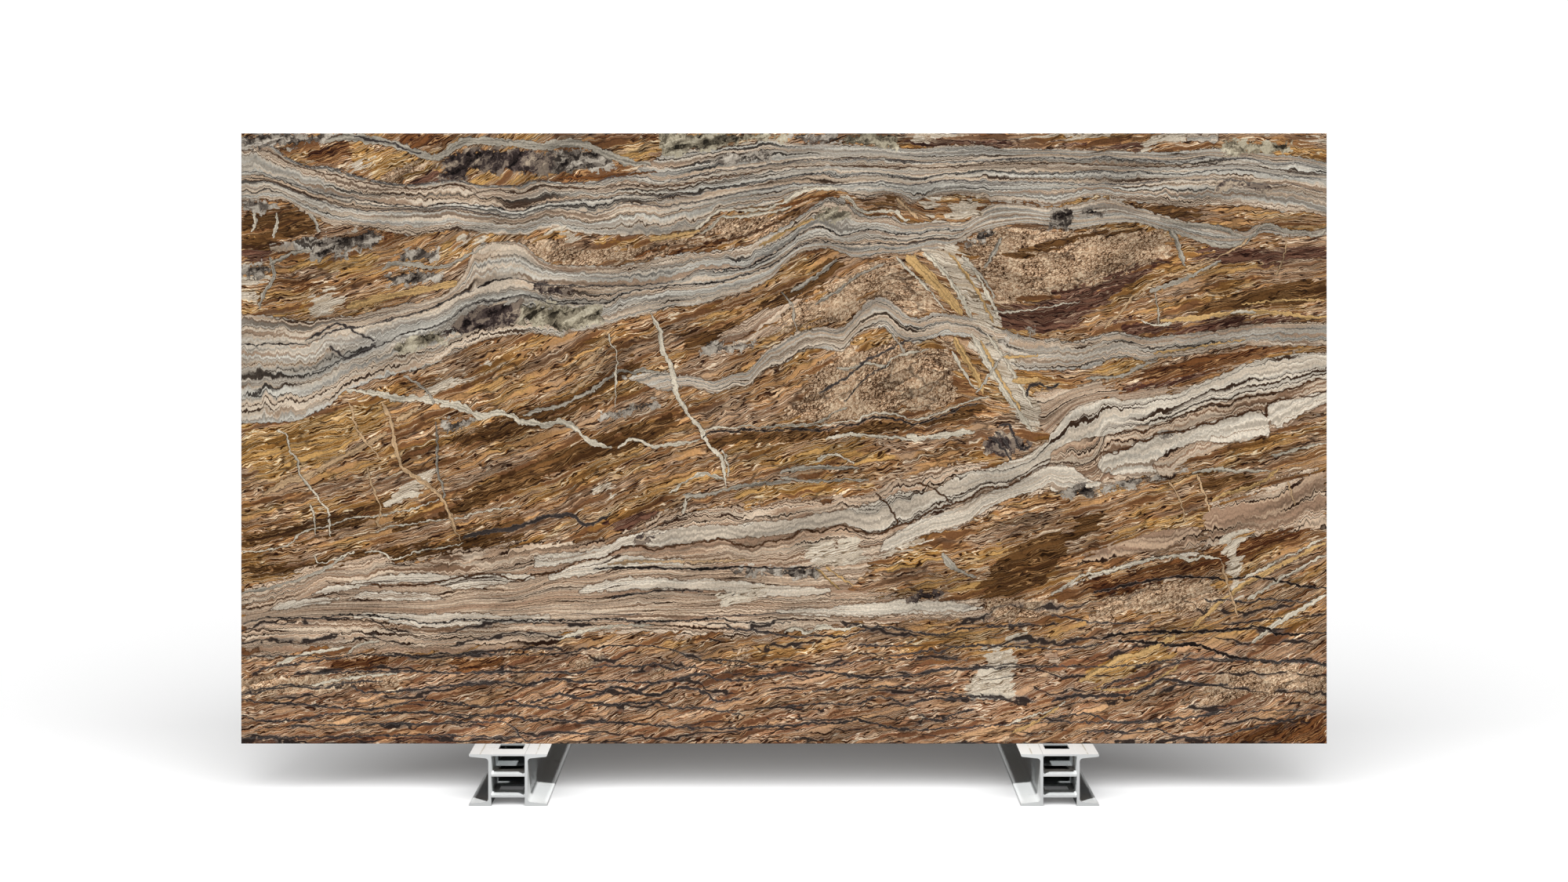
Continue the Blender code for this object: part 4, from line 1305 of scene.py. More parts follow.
class MarbleFinish:
    """The polished marble, whose pattern is read from the attributes of the slab's skin.

    Lengths in it are centimetres, but the depth of the saw marks is in metres. A factor on a coordinate
    is how many features a pattern has to a centimetre, and a number added to one picks another part of
    the noise. The limits of a step on a noise are where its middle range starts and ends.
    """

    BORDER = 0.10
    CLAY_TOP = 26.0
    SEAMS_TOP = 38.0
    FADE = 3.0
    DEEPEST = 0.55
    LINE_SPAN = 0.65
    STOP_BLEND = 0.15
    RIBBON_RIM = "#463124"
    CHIP_OUTLINE = "#301c14"
    FOOT_SEAM = "#332a27"
    FOOT_HALO = "#6f6964"
    DARK_VEIN_RIM = "#6b6662"
    PALE_VEIN_RIM = "#38261b"
    SPECK = "#33241d"
    SAWN = "#a39a8e"
    SAWN_FROM = 0.05
    SAWN_WHOLLY = 0.15
    SAWN_ROUGHNESS = 0.5
    POLISH = 0.22
    SHEEN = 0.15
    VEIN_EDGE = 0.06
    VEIN_RIM = 0.24
    MARK_DEPTH = 0.0006

    def __init__(self, origin: Vector) -> None:
        """Builds the patterns that the kinds of stone share.

        Args:
            origin: The slab's lower left front corner, in metres.
        """
        self.graph = graph = NodeGraph("banded_marble")
        raw = graph.node("ShaderNodeTexCoord", {}, {}, "Object")
        inputs = {0: raw, 1: (1 / CM,) * 3, 2: tuple(-part / CM for part in origin)}
        self.place = graph.node("ShaderNodeVectorMath", {"operation": "MULTIPLY_ADD"}, inputs)
        self.x, self.y, self.z = x, y, _ = graph.split(self.place)
        self.level, self.along, across = graph.attribute("beds")
        wander = graph.noise(self.place, 0.16, 3) - 0.5
        self.jitter = jitter = graph.noise(self.place, 0.6, 3) - 0.5
        self.ripple = graph.grain(x * 0.20, self.level * 0.12, 5.0, 4, 0.6) - 0.5
        self.edge = wander * 4.5 + jitter * 3.0

        # Long thin lenses along the foliation, and broad bands of darker and paler ones
        self.bent = bent = across + wander * 3.2 + jitter * 0.6
        skew = self.along + jitter * 3.0
        lens = graph.grain(skew * 0.055, bent * 0.80, y * 0.1, 1, 0.5)
        band = graph.grain(skew * 0.030 + 9, bent * 0.30, y * 0.1, 2, 0.5)
        self.streak = graph.step(lens * 0.5 + band * 0.5, 0.375, 0.625)

        # Thin beds with scalloped tops
        self.lifted = lifted = self.level - abs(self.ripple) * 5.0 + jitter * 0.5
        leaf = graph.grain(x * 0.012, lifted * 0.85, y * 0.05, 1, 0.5)
        bed = graph.grain(x * 0.005, lifted * 0.22, y * 0.05, 2, 0.5)
        self.lamina = graph.maths("PINGPONG", lifted * 0.10 + leaf * 0.8 + bed * 1.8, 1.0)
        thin = graph.grain(x * 0.02, lifted * 1.4, y * 0.05, 1, 0.5)
        self.leaves = graph.step(thin, 0.38, 0.56) * 0.36 + 0.72

        # Chips, grains with dark outlines and blotches, plainer in some places than in others
        self.chip, self.chip_edge = graph.mosaic(skew * 0.10, bent * 0.7)
        self.chip_zone = graph.step(graph.grain(self.along * 0.05, across * 0.12, 3.0, 3, 0.6), 0.44, 0.56)
        grit = graph.noise(self.place, 1.1, 3, 0.6)
        tone, edge = graph.mosaic(skew * 0.9 + grit * 1.8, bent * 2.0 + grit * 1.8)
        patchy = graph.step(graph.noise(self.place, 0.09, 3, 0.6), 0.38, 0.62)
        outline = 1 - graph.step(edge - patchy * 0.16, 0.0, 0.10)
        pebble = (tone * 0.5 + graph.step(grit, 0.38, 0.62) * 0.5) * 0.68 + 0.36 - outline * 0.46
        self.pebble = graph.limit(pebble, 0.0, 1.0)
        blotch = graph.grain(self.along * 0.20, across * 0.40 + jitter * 2, y, 4, 0.65)
        self.blotch = graph.step(blotch, 0.40, 0.60)

    def _tones(self, pattern: Wire, colours: tuple[str, ...], order: tuple[float, ...]) -> Wire:
        """Colours a pattern with a kind's tones.

        Args:
            pattern: The pattern, from 0 to 1.
            colours: Five colours from dark to light.
            order: The tones one after another, each as a share of the way from dark to light.

        Returns:
            The colour.
        """
        table = np.array([linear(colour) for colour in colours])
        stops = []
        place = 0.0
        for share in order:
            colour = [np.interp(share, RAMP_PLACES, table[:, channel]) for channel in range(3)]
            light = min(1.0, self.DEEPEST + (1 - self.DEEPEST) * share / RAMP_PLACES[0])
            colour = (*(light * part for part in colour), 1.0)
            stops.append((place + self.STOP_BLEND, colour))
            place += 1.0 if LINE_TONES[0] < share < LINE_TONES[1] else self.LINE_SPAN
            stops.append((place - self.STOP_BLEND, colour))
        return self.graph.ramp(pattern, [(start / place, colour) for start, colour in stops])

    def _brown(self) -> Wire:
        """Colours the foliated stone under all the others, in warmer, duller and redder places.

        Returns:
            The colour.
        """
        graph = self.graph
        hue = graph.grain(self.along * 0.035, self.bent * 0.16, 0.0, 3, 0.6)
        foot = graph.step(self.CLAY_TOP - self.level, -self.FADE, self.FADE)
        colour = self._tones(self.streak, BROWN_COLOURS, STREAKS)
        for share, colours in (
            (graph.step(hue, 0.54, 0.59) * 0.7, KIND_COLOURS[Kind.OCHRE]),
            (graph.step(1 - hue, 0.53, 0.59) * 0.6, KIND_COLOURS[Kind.PINK]),
            (foot * 0.7, CLAY_COLOURS),
        ):
            colour = graph.blend(share, colour, self._tones(self.streak, colours, STREAKS))
        return colour

    def _tinted(self, body: Wire) -> Wire:
        """Makes some beds of the grey ribbons warmer and some cooler.

        Args:
            body: The colour of the grey stone.

        Returns:
            The colour.
        """
        graph = self.graph
        tint = graph.grain(self.x * 0.008, self.lifted * 0.55 + 30, 0.0, 3, 0.6)
        for share, colours in (
            (graph.step(tint, 0.49, 0.54) * 0.85, WARM_GREY),
            (graph.step(1 - tint, 0.53, 0.59) * 0.7, COOL_GREY),
        ):
            body = graph.blend(share, body, self._tones(self.lamina, colours, LAMINAE))
        return body

    def _chipped(self, colour: Wire) -> Wire:
        """Breaks the brown stone into chips of slightly different tones, some with dark outlines.

        Args:
            colour: The colour so far.

        Returns:
            The colour.
        """
        graph = self.graph
        light = 1 + (self.chip - 0.5) * (self.chip_zone * 0.45 + 0.22)
        outline = (1 - graph.step(self.chip_edge, 0.02, 0.12)) * (self.chip_zone * 0.8 + 0.2)
        return graph.blend(outline * 0.6, graph.shade(colour, light), linear(self.CHIP_OUTLINE))

    def _stone(self) -> Wire:
        """Colours the kinds of stone, each laid over the ones before.

        Returns:
            The colour.
        """
        graph = self.graph
        colour = self._brown()
        fingers = self.edge + (self.streak - 0.5) * 2.6
        flecks = self.edge + (self.blotch - 0.5) * 1.6
        fringe = self.ripple * 2.0 + self.jitter * 2.2
        mixed = graph.limit(self.blotch * 0.6 + self.chip * 0.4, 0.0, 1.0)
        looks = {
            Kind.TAN: (self.pebble, TONES, fingers),
            Kind.PINK: (self.lamina, LAMINAE, fingers),
            Kind.GREY: (self.lamina, LAMINAE, fringe),
            Kind.CREAM: (self.lamina, CORES, fringe),
            Kind.OLIVE: (mixed, TONES, flecks),
            Kind.MOTTLED: (mixed, TONES, flecks),
            Kind.SMOKY: (mixed, TONES, flecks),
        }
        depths = [depth for trio in TRIOS for depth in graph.attribute(patch_field(trio))]
        for depth, kind in zip(depths, sum(TRIOS, ())):
            texture, order, shift = looks.get(kind, (self.streak, STREAKS, fingers))
            inside = graph.step(depth + shift, -self.BORDER, self.BORDER)
            body = self._tones(texture, KIND_COLOURS[kind], order)
            if kind == Kind.GREY:
                body = self._tinted(body)
            if kind == Kind.PINK:
                colour = self._chipped(colour)
            if kind in (Kind.PINK, Kind.GREY, Kind.CREAM):
                body = graph.shade(body, self.leaves)
                rim = 1 - graph.step(abs(depth + shift), 0.05, 0.45)
                colour = graph.blend(rim * 0.7, colour, linear(self.RIBBON_RIM))
            colour = graph.blend(inside, colour, body)
        return colour

    def _seamed(self, colour: Wire) -> Wire:
        """Adds the dark wavy seams that run side by side along the foot of the slab.

        Args:
            colour: The colour so far.

        Returns:
            The colour.
        """
        graph = self.graph
        run = graph.grain(self.x * 0.022, self.level * 0.05, 11.0, 4, 0.62) - 0.5
        turns = self.level * 0.24 + run * 4.5 + self.jitter * 0.25 + self.ripple * 0.5
        width = graph.grain(self.x * 0.05, self.level * 0.25, 17.0, 3, 0.6)
        half = (width - 0.40) * 1.9 * graph.step(self.SEAMS_TOP - self.level, -self.FADE, self.FADE)
        off = graph.maths("PINGPONG", turns, 0.5) * 4.2 - half
        shown = graph.step(half, 0.0, 0.06)
        halo = (1 - graph.step(off, 0.0, 0.7)) * graph.step(width, 0.46, 0.60) * shown
        colour = graph.blend(halo * 0.55, colour, linear(self.FOOT_HALO))
        line = 1 - graph.step(off, -0.1, 0.1)
        return graph.blend(line * shown * 0.95, colour, linear(self.FOOT_SEAM))

    def _veined(self, colour: Wire) -> Wire:
        """Adds the traced veins and seams, layer by layer.

        Args:
            colour: The colour so far.

        Returns:
            The colour.
        """
        graph = self.graph
        tones = [(tint.value, linear(code)) for tint, code in VEIN_COLOURS.items()]
        dark, pale = linear(self.DARK_VEIN_RIM), linear(self.PALE_VEIN_RIM)
        rims = [(0.0, dark), (0.20, dark), (0.26, pale)]
        sway = self.ripple * 1.5 + self.jitter * 2.0
        swell = graph.grain(self.x * 0.25, self.level * 0.25, 3.0, 3, 0.6) * 3.0 - 0.5
        for layer in range(VeinLayers.COUNT):
            side, half, tone = graph.attribute(vein_field(layer))
            off = abs(side + sway) - half * swell * (1.15 - tone * 0.35)
            body = 1 - graph.step(off, -self.VEIN_EDGE, self.VEIN_EDGE)
            near = graph.step(half, -0.2, 0.1)
            rim = (1 - graph.step(off, self.VEIN_EDGE, self.VEIN_RIM)) * near
            colour = graph.blend(rim * 0.6, colour, graph.ramp(tone, rims))
            stripe = graph.grain(side * 1.8 + self.jitter * 3, self.x * 0.05, layer, 2, 0.6)
            light = graph.step(stripe, 0.36, 0.56) * 0.56 + self.chip * 0.14 + 0.42
            colour = graph.blend(body * near, colour, graph.shade(graph.ramp(tone, tones), light))
        return colour

    def _powdered(self, colour: Wire) -> Wire:
        """Adds dark specks and a fine grain over everything, and deepens the dark tones.

        Args:
            colour: The colour so far.

        Returns:
            The colour.
        """
        graph = self.graph
        specks = 1 - graph.step(graph.dots(self.place, 1.3), 0.06, 0.18)
        zones = graph.step(graph.noise(self.place, 0.12, 2), 0.44, 0.56)
        colour = graph.blend(specks * zones * 0.75, colour, linear(self.SPECK))
        powder = graph.noise(self.place, 1.6, 3, 0.7)
        mood = graph.grain(self.along * 0.03, self.bent * 0.13, 21.0, 3, 0.6)
        light = graph.step(powder, 0.35, 0.65) * 0.34 + graph.step(mood, 0.36, 0.60) * 0.34 + 0.64
        tone = graph.node("ShaderNodeRGBToBW", {}, {0: colour})
        contrast = graph.maths("POWER", graph.limit(tone * 4.4, 0.3, 1.35), 0.24)
        return graph.shade(colour, light * contrast)

    def material(self) -> bpy.types.Material:
        """Colours the face, which is polished, and the back, which is sawn and dull.

        Returns:
            The marble.
        """
        graph = self.graph
        colour = self._powdered(self._veined(self._seamed(self._stone())))
        back = graph.step(self.y, self.SAWN_FROM, self.SAWN_WHOLLY)
        saw = graph.grain(self.x * 0.02, 0.0, self.z * 3.0, 2, 0.5)
        height = saw * back + graph.noise(self.place, 0.5, 1) * 0.02
        return graph.dress({
            "Base Color": graph.blend(back * 0.35, colour, linear(self.SAWN)),
            "Roughness": self.POLISH + back * self.SAWN_ROUGHNESS + self.chip * 0.06,
            "Normal": graph.bump(height, 0.15, self.MARK_DEPTH),
            "Specular IOR Level": self.SHEEN,
        })


@dataclass
class MarbleSlab:
    """The slab: a closed skin with a fine grid on the face, which carries the marble's pattern."""

    node: str = "marble_slab"
    arris: float = 0.001
    coarsening: int = 4
    square_on: float = 0.9
    leaning: float = 0.5

    def __post_init__(self) -> None:
        """Reads the slab's place from the frame."""
        low, high = (Vector(corner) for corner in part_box(self.node))
        self.low = low
        self.size = high - low
        self.face = Face(self.size.x / CM, self.size.z / CM)

    def _grid(self, y: float, step: int, inset: float) -> np.ndarray:
        """The points of a grid parallel to the face, row by row.

        Args:
            y: Its distance along Y.
            step: How many of the face's cells go to one of its own.
            inset: How far its border lies inside the slab's outline.

        Returns:
            An array with a row for each point.
        """
        share_x = np.linspace(0, 1, self.face.across // step + 1)
        share_z = np.linspace(0, 1, self.face.up // step + 1)
        x = self.low.x + inset + share_x * (self.size.x - 2 * inset)
        z = self.low.z + inset + share_z * (self.size.z - 2 * inset)
        across, up = np.meshgrid(x, z)
        return np.column_stack([across.ravel(), np.full(across.size, y), up.ravel()])

    def _border(self, step: int) -> list[int]:
        """Goes round such a grid from its lower left corner.

        Args:
            step: How many of the face's cells go to one of its own.

        Returns:
            The numbers of the points on its border.
        """
        columns = self.face.across // step + 1
        rows = self.face.up // step + 1
        bottom = list(range(columns - 1))
        right = [row * columns + columns - 1 for row in range(rows - 1)]
        top = [(rows - 1) * columns + column for column in range(columns - 1, 0, -1)]
        left = [row * columns for row in range(rows - 1, 0, -1)]
        return bottom + right + top + left

    def _cells(self, step: int, first: int, away: bool) -> list[tuple[int, ...]]:
        """Fills such a grid with faces.

        Args:
            step: How many of the face's cells go to one of its own.
            first: The number of its first point in the mesh.
            away: Whether the faces turn away from the front.

        Returns:
            The points of each face.
        """
        columns = self.face.across // step + 1
        faces = []
        for row, column in product(range(self.face.up // step), range(columns - 1)):
            corner = first + row * columns + column
            cell = (corner, corner + 1, corner + columns + 1, corner + columns)
            faces.append(cell[::-1] if away else cell)
        return faces

    def _skin(self) -> tuple[bpy.types.Mesh, np.ndarray]:
        """Builds the closed mesh.

        Returns:
            The mesh, and for each of its points the point of the face's grid that it copies.
        """
        front_y, back_y = self.low.y, self.low.y + self.size.y
        step = self.coarsening
        fine_border = self._border(1)
        coarse_border = self._border(step)
        front = self._grid(front_y, 1, self.arris)
        rim = self._grid(front_y + self.arris, 1, 0.0)[fine_border]
        back_rim = self._grid(back_y - self.arris, step, 0.0)[coarse_border]
        back = self._grid(back_y, step, self.arris)
        coarse_rows = np.arange(0, self.face.up + 1, step)
        coarse_columns = np.arange(0, self.face.across + 1, step)
        coarse_source = (coarse_rows[:, None] * (self.face.across + 1) + coarse_columns).ravel()
        source = [np.arange(len(front)), fine_border, coarse_source[coarse_border], coarse_source]
        rim_first = len(front)
        back_rim_first = rim_first + len(rim)
        back_first = back_rim_first + len(back_rim)
        faces = self._cells(1, 0, False)
        count = len(rim)
        for index in range(count):
            after = (index + 1) % count
            faces.append((fine_border[after], fine_border[index], rim_first + index, rim_first + after))

        # The edges: each coarse stretch of the back joins a few fine ones of the front
        half = step // 2
        for index in range(len(back_rim)):
            after = (index + 1) % len(back_rim)
            near, far = back_rim_first + index, back_rim_first + after
            fine = [rim_first + (index * step + part) % count for part in range(step + 1)]
            faces += [(fine[part + 1], fine[part], near) for part in range(half)]
            faces.append((fine[half], near, far))
            faces += [(fine[part + 1], fine[part], far) for part in range(half, step)]
            faces.append((far, near, back_first + coarse_border[index], back_first + coarse_border[after]))
        faces += self._cells(step, back_first, True)
        mesh = bpy.data.meshes.new("marble_slab_skin")
        mesh.from_pydata(np.vstack([front, rim, back_rim, back]).tolist(), [], faces)
        mesh.validate()
        return mesh, np.concatenate(source)

    @staticmethod
    def _write(mesh: bpy.types.Mesh, name: str, source: np.ndarray, fields: list[np.ndarray]) -> None:
        """Writes three fields of the face as one vector attribute.

        Args:
            mesh: The skin.
            name: The attribute's name.
            source: The point of the face's grid that each point copies.
            fields: The fields.
        """
        stacked = np.column_stack([part.ravel()[source] for part in fields]).astype(np.float32)
        attribute = mesh.attributes.new(name, "FLOAT_VECTOR", "POINT")
        attribute.data.foreach_set("vector", stacked.ravel())

    @staticmethod
    def _read(items: bpy.types.bpy_prop_collection, name: str, width: int, kind: type) -> np.ndarray:
        """Reads a property of all of a mesh's parts.

        Args:
            items: The mesh's points, corners or faces.
            name: The property.
            width: How many numbers it has.
            kind: The type of the numbers.

        Returns:
            An array with a row for each part.
        """
        values = np.empty(len(items) * width, dtype=kind)
        items.foreach_get(name, values)
        return values.reshape(-1, width)

    def _unwrap(self, mesh: bpy.types.Mesh) -> None:
        """Lays out the face over most of the texture, with the back and the edges below it.

        Args:
            mesh: The skin.
        """
        corner = self._read(mesh.loops, "vertex_index", 1, np.int32).ravel()
        place = self._read(mesh.vertices, "co", 3, np.float32)[corner]
        across, deep, up = ((place[:, axis] - self.low[axis]) / self.size[axis] for axis in range(3))
        corners = self._read(mesh.polygons, "loop_total", 1, np.int32).ravel()
        normal = np.repeat(self._read(mesh.polygons, "normal", 3, np.float32), corners, axis=0)
        face, back = normal[:, 1] < -self.square_on, normal[:, 1] > self.square_on
        edge = ~face & ~back
        low, high = normal < -self.leaning, normal > self.leaning

        # Which corners, the two coordinates, and the left, bottom, width and height of their area
        areas = (
            (face, across, up, 0.004, 0.434, 0.992, 0.56),
            (back, across, up, 0.01, 0.01, 0.70, 0.40),
            (edge & low[:, 2], across, deep, 0.74, 0.01, 0.25, 0.07),
            (edge & high[:, 2], across, deep, 0.74, 0.11, 0.25, 0.07),
            (edge & low[:, 0], up, deep, 0.74, 0.21, 0.25, 0.07),
            (edge & high[:, 0], up, deep, 0.74, 0.31, 0.25, 0.07),
        )
        uv = np.zeros((len(corner), 2), dtype=np.float32)
        for chosen, run, rise, left, bottom, width, height in areas:
            uv[chosen] = np.column_stack([left + width * run, bottom + height * rise])[chosen]
        mesh.uv_layers.new(name="OFBake").data.foreach_set("uv", uv.ravel())

    def build(self) -> bpy.types.Object:
        """Builds the slab and dresses it.

        Returns:
            The slab.
        """
        mesh, source = self._skin()
        bedding = Bedding(self.face)
        self._write(mesh, "beds", source, [bedding.level(), *Foliation(self.face).coordinates()])
        depth = Patches(self.face, bedding).depth
        for trio in TRIOS:
            self._write(mesh, patch_field(trio), source, [depth[kind] for kind in trio])
        layers = VeinLayers(self.face, bedding)
        for layer, fields in enumerate(zip(layers.side, layers.half, layers.tone)):
            self._write(mesh, vein_field(layer), source, fields)
        self._unwrap(mesh)
        mesh.materials.append(MarbleFinish(self.low).material())
        slab = put("slab_skin", mesh)
        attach(slab, "root")
        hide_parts(self.node)
        LOG.info("%s: %d faces", slab.name, len(mesh.polygons))
        return slab


@dataclass(frozen=True)
class PaintFinish:
    """White paint over rolled steel, worn along two lines of each rail's top, with painted shade darkening
    the hollow inside.
    """

    centre: float
    top: float
    colour: str = "#e6e8e7"
    dirt: str = "#97948a"
    # The colour of the painted shade in the hollow between the webs
    hollow_shade: str = "#39474a"
    wear: str = "#aca48e"
    wear_line: float = 0.078
    hollow: float = 0.050
    hollow_edge: float = 0.002
    rail_end: float = 0.5
    line_width: tuple[float, float] = (0.0008, 0.0030)
    line_sway: float = 0.006
    roughness: float = 0.42
    coat_depth: float = 0.0006

    def material(self) -> bpy.types.Material:
        """Builds the material.

        Returns:
            The paint.
        """
        graph = NodeGraph("white_rail_paint")
        place = graph.node("ShaderNodeTexCoord", {}, {}, "Object")
        x, y, z = graph.split(place)
        across = abs(abs(x) - self.centre)
        cloud = graph.noise(place, 9.0, 5, 0.6)
        scuff = graph.noise(place, 60.0, 4, 0.7)
        soil = graph.step(cloud * 0.6 + scuff * 0.4, 0.52, 0.70) * 0.30
        colour = graph.blend(soil, linear(self.colour), linear(self.dirt))

        # The worn lines, broken here and there
        sway = (cloud - 0.5) * self.line_sway
        line = 1 - graph.step(abs(across - self.wear_line + sway), *self.line_width)
        line = line * graph.step(z, self.top - 0.0004, self.top - 0.0001) * graph.step(cloud, 0.36, 0.52)
        colour = graph.blend(line * 0.75, colour, linear(self.wear))

        # Painted shade in the hollow between the webs, darker away from the ends
        depth = graph.step(self.rail_end - abs(y), 0.010, 0.120)
        inside = (1 - graph.step(across, self.hollow, self.hollow + self.hollow_edge)) * depth
        inside = inside * (1 - graph.step(z, self.top - 0.0012, self.top - 0.0004))
        colour = graph.blend(inside * (0.40 + cloud * 0.5), colour, linear(self.hollow_shade))
        return graph.dress({
            "Base Color": colour,
            "Roughness": self.roughness + soil * 0.5,
            "Normal": graph.bump(scuff + line * 0.6, 0.2, self.coat_depth),
        })


@dataclass
class WeldBeads:
    """The beads that join the plates of a rail to its webs, set along their seams by Geometry Nodes."""

    centres: tuple[float, ...]
    seam: float
    heights: tuple[float, ...]
    reach: float = 0.496
    stitch: float = 0.055
    radius: float = 0.0034
    pitch: float = 0.0026
    smallest: tuple[float, float, float] = (0.75, 0.70, 0.75)
    largest: tuple[float, float, float] = (1.15, 1.0, 1.15)
    seed: int = 7

    def _seams(self) -> bpy.types.Mesh:
        """Marks one edge for each stitch, in from both ends of the rails.

        Returns:
            The edges.
        """
        places = []
        sides = (-self.seam, self.seam)
        for centre, side, height, end in product(self.centres, sides, self.heights, (-1, 1)):
            for y in (end * self.reach, end * (self.reach - self.stitch)):
                places.append((centre + side, y, height))
        edges = [(start, start + 1) for start in range(0, len(places), 2)]
        mesh = bpy.data.meshes.new("weld_seams")
        mesh.from_pydata(places, edges, [])
        return mesh

    def _sizes(self) -> dict[str, float]:
        """The sizes that the nodes take as named inputs."""
        return {"Radius": self.radius, "Pitch": self.pitch}

    def _tree(self, paint: bpy.types.Material) -> bpy.types.GeometryNodeTree:
        """Builds the nodes that set uneven overlapping drops along each edge.

        Args:
            paint: The paint over the beads.

        Returns:
            The tree, with its named inputs.
        """
        tree = bpy.data.node_groups.new("weld_beads", "GeometryNodeTree")
        tree.is_modifier = True
        sockets = tree.interface
        sockets.new_socket("Geometry", in_out="INPUT", socket_type="NodeSocketGeometry")
        for name, value in self._sizes().items():
            sockets.new_socket(name, in_out="INPUT", socket_type="NodeSocketFloat").default_value = value
        sockets.new_socket("Geometry", in_out="OUTPUT", socket_type="NodeSocketGeometry")

        def add(kind: str, links: dict, **settings: object) -> bpy.types.Node:
            """Adds a node.

            Args:
                kind: The node's type.
                links: Sockets or plain values for its inputs, by name or number.
                settings: Its properties.

            Returns:
                The node.
            """
            node = tree.nodes.new(kind)
            for key, value in settings.items():
                setattr(node, key, value)
            for key, value in links.items():
                if isinstance(value, bpy.types.NodeSocket):
                    tree.links.new(value, node.inputs[key])
                else:
                    node.inputs[key].default_value = value
            return node

        given = add("NodeGroupInput", {}).outputs
        curve = add("GeometryNodeMeshToCurve", {0: given["Geometry"]})
        spacing = {"Curve": curve.outputs[0], "Length": given["Pitch"]}
        spaced = add("GeometryNodeResampleCurve", spacing, mode="LENGTH")
        drop = add("GeometryNodeMeshIcoSphere", {"Radius": given["Radius"], "Subdivisions": 2})
        spread = {0: self.smallest, 1: self.largest, "Seed": self.seed}
        size = add("FunctionNodeRandomValue", spread, data_type="FLOAT_VECTOR")
        drops = add("GeometryNodeInstanceOnPoints", {
            "Points": spaced.outputs[0], "Instance": drop.outputs[0], "Scale": size.outputs[0],
        })
        real = add("GeometryNodeRealizeInstances", {0: drops.outputs[0]})
        smooth = add("GeometryNodeSetShadeSmooth", {0: real.outputs[0]})
        painted = add("GeometryNodeSetMaterial", {"Geometry": smooth.outputs[0], "Material": paint})
        add("NodeGroupOutput", {0: painted.outputs[0]})
        return tree

    def build(self, paint: bpy.types.Material) -> bpy.types.Object:
        """Lays the beads.

        Args:
            paint: The paint over them.

        Returns:
            The beads of both rails as one plain mesh.
        """
        guide = put("weld_guide", self._seams())
        modifier = guide.modifiers.new("Beads", "NODES")
        modifier.node_group = self._tree(paint)
        sizes = self._sizes()
        for socket in modifier.node_group.interface.items_tree:
            if socket.name in sizes:
                modifier[socket.identifier] = sizes[socket.name]
        graph = bpy.context.evaluated_depsgraph_get()
        mesh = bpy.data.meshes.new_from_object(guide.evaluated_get(graph))
        bpy.data.objects.remove(guide, do_unlink=True)
        beads = put("weld_beads", mesh)
        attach(beads, "root")
        LOG.info("%s: %d faces", beads.name, len(mesh.polygons))
        return beads


@dataclass
class Rails:
    """The two rails. Their shapes come from the frame and get their paint and weld beads here."""

    plates: tuple[str, ...] = ("outer_channel", "inner_channel", "cover_plate", "middle_shelf", "lower_shelf")
    bead_inset: float = 0.0008

    def build(self, nodes: dict[str, bpy.types.Object]) -> list[bpy.types.Object]:
        """Paints every piece of both rails and lays the beads.

        Args:
            nodes: The frame's objects by name.

        Returns:
            The pieces and the beads.
        """
        cover, middle, lower = (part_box(f"right_rail_{name}") for name in self.plates[2:])
        centre = (cover[0][0] + cover[1][0]) / 2
        paint = PaintFinish(centre, cover[1][2]).material()
        pieces = [nodes[f"{side}_rail_{plate}"] for side in ("left", "right") for plate in self.plates]
        for piece in pieces:
            for slot in piece.material_slots:
                slot.material = paint
            LOG.info("%s: painted", piece.name)
        inset = self.bead_inset
        seam = cover[1][0] - centre - inset
        heights = (cover[0][2] - inset, middle[1][2] + inset, lower[1][2] + inset)
        return [*pieces, WeldBeads((-centre, centre), seam, heights).build(paint)]


@dataclass(frozen=True)
class Lamp:
    """A lamp that shines on some of the pieces only: a sun, or a square lamp where it has a place."""

    name: str
    lit: tuple[str, ...]
    power: float
    direction: tuple[float, float, float]
    softness: float = 0.0
    place: tuple[float, float, float] | None = None
    size: float = 0.10

    def build(self, groups: dict[str, list[bpy.types.Object]]) -> None:
        """Adds the lamp to the scene.

        Args:
            groups: The pieces by the name of their group.
        """
        data = bpy.data.lights.new(self.name, "AREA" if self.place else "SUN")
        data.energy = self.power
        lamp = put(self.name, data)
        lamp.rotation_euler = Vector(self.direction).to_track_quat("-Z", "Y").to_euler()
        if self.place:
            data.size = self.size
            lamp.location = self.place
        else:
            data.angle = math.radians(self.softness)
        receivers = bpy.data.collections.new(f"{self.name}_receivers")
        for group in self.lit:
            for piece in groups[group]:
                receivers.objects.link(piece)
        lamp.light_linking.receiver_collection = receivers


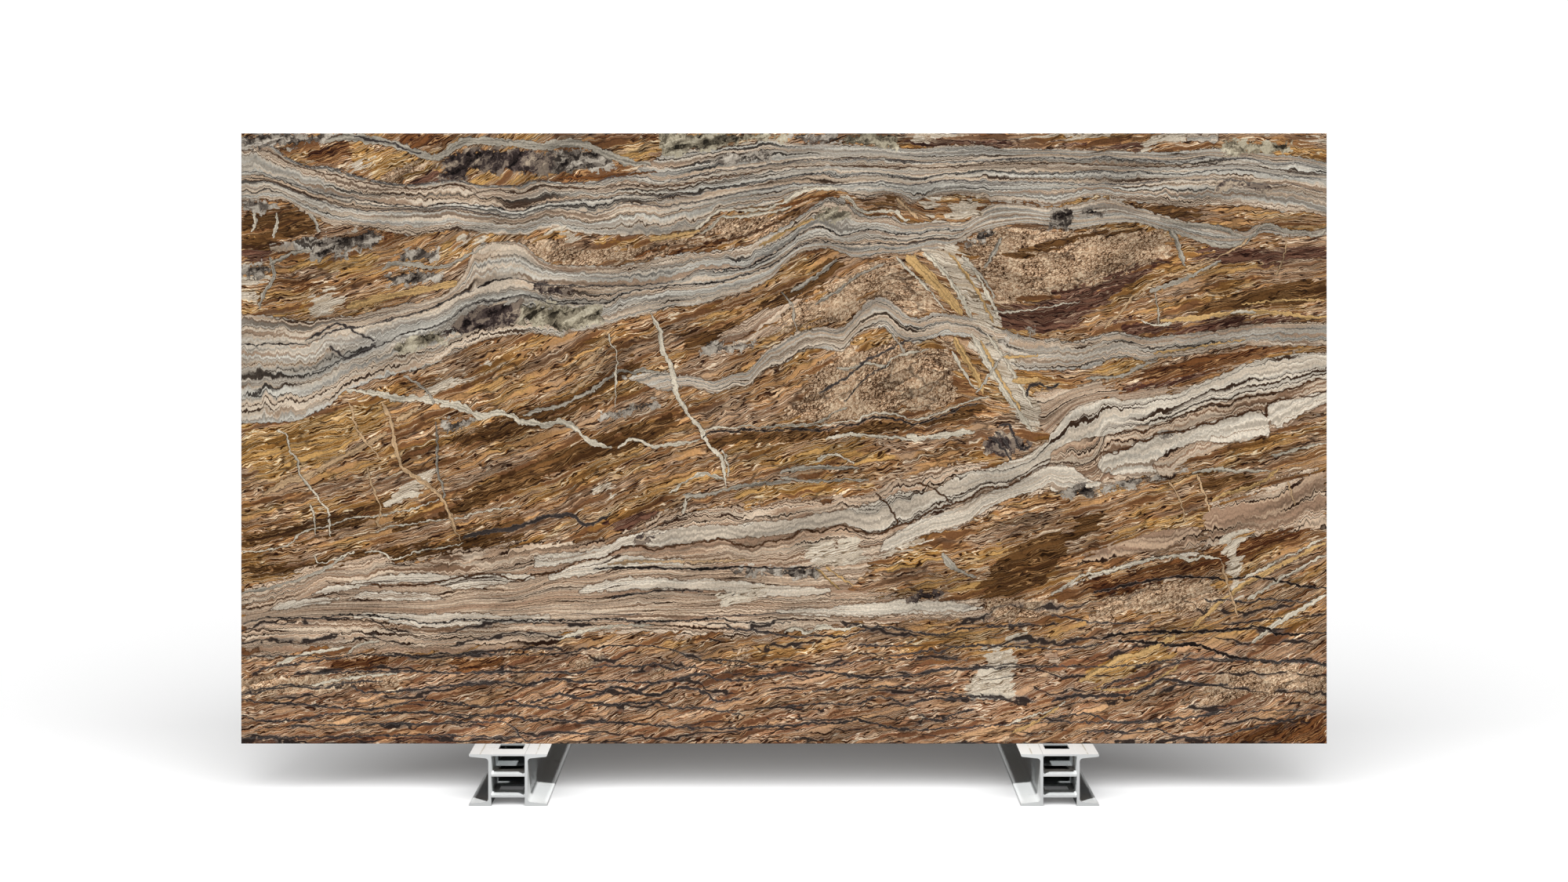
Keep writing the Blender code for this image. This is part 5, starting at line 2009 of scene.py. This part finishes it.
@dataclass
class Studio:
    """The floor, the white surroundings, the lamps and the camera."""

    eye: tuple[float, float, float] = (0.0, -7.854, 1.658)
    lens: float = 60.3
    sensor: float = 36.0
    shift_up: float = -0.14475
    floor_reach: float = 60.0
    floor_colour: str = "#f6f6f6"
    floor_roughness: float = 0.9
    floor_glow: float = 0.08
    sky_colour: tuple[float, float, float, float] = (0.97, 0.98, 1.0, 1.0)
    sky_light: float = 0.05
    sky_white: float = 1.15
    lamps: tuple[Lamp, ...] = (
        Lamp("slab_key", ("slab",), 3.0, (0.08, 0.42, -0.90), 60.0),
        Lamp("slab_fill", ("slab",), 1.8, (0.0, 1.0, -0.45), 20.0),
        Lamp("slab_back", ("slab",), 0.9, (0.1, -0.9, -0.5), 60.0),
        Lamp("rails_back", ("rails",), 3.4, (0.0, -1.0, -1.0), 8.0),
        Lamp("floor_left", ("floor",), 3.4, (0.30, 0.75, -0.46), 60.0),
        Lamp("floor_right", ("floor",), 3.4, (-0.30, 0.75, -0.46), 60.0),
        Lamp("rails", ("rails",), 76.0, (0.0, 1.34, -1.74), place=(0.0, -1.76, 1.84)),
    )

    def _floor(self) -> bpy.types.Object:
        """Lays a pale floor that only takes shadows.

        Returns:
            The floor.
        """
        mesh = bpy.data.meshes.new("floor")
        reach = self.floor_reach
        corners = [(-reach, -reach, 0), (reach, -reach, 0), (reach, reach, 0), (-reach, reach, 0)]
        mesh.from_pydata(corners, [], [(0, 1, 2, 3)])
        white = linear(self.floor_colour)
        mesh.materials.append(NodeGraph("floor").dress({
            "Base Color": white,
            "Roughness": self.floor_roughness,
            "Emission Color": white,
            "Emission Strength": self.floor_glow,
        }))
        floor = put("floor", mesh)
        floor.visible_diffuse = False
        floor.visible_glossy = False
        return floor

    def _surroundings(self) -> None:
        """White to the camera and a dimmer grey to everything else."""
        world = bpy.data.worlds.new("studio")
        world.use_nodes = True
        nodes, links = world.node_tree.nodes, world.node_tree.links
        background = nodes["Background"]
        background.inputs["Color"].default_value = self.sky_colour
        path = nodes.new("ShaderNodeLightPath")
        level = nodes.new("ShaderNodeMapRange")
        level.inputs["To Min"].default_value = self.sky_light
        level.inputs["To Max"].default_value = self.sky_white
        links.new(path.outputs["Is Camera Ray"], level.inputs["Value"])
        links.new(level.outputs["Result"], background.inputs["Strength"])
        bpy.context.scene.world = world

    def _camera(self) -> None:
        """The camera, level and square to the slab."""
        data = bpy.data.cameras.new("camera")
        data.lens = self.lens
        data.sensor_width = self.sensor
        data.shift_y = self.shift_up
        camera = put("camera", data)
        camera.location = self.eye
        camera.rotation_euler = (math.radians(90), 0.0, 0.0)
        bpy.context.scene.camera = camera

    def build(self, groups: dict[str, list[bpy.types.Object]]) -> None:
        """Sets up the studio.

        Args:
            groups: The slab and the rails' pieces, by the name of their group.
        """
        groups = groups | {"floor": [self._floor()]}
        self._surroundings()
        for lamp in self.lamps:
            lamp.build(groups)
        self._camera()
        view = bpy.context.scene.view_settings
        view.view_transform = "Standard"
        view.look = "None"


def main() -> None:
    """Builds the slab, paints the rails, sets up the studio and notes the sizes."""
    logging.basicConfig(level=logging.INFO, format="%(message)s")
    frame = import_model()
    slab = MarbleSlab().build()
    rails = Rails().build(frame["nodes"])
    Studio().build({"slab": [slab], "rails": rails})


if __name__ == "__main__":
    main()
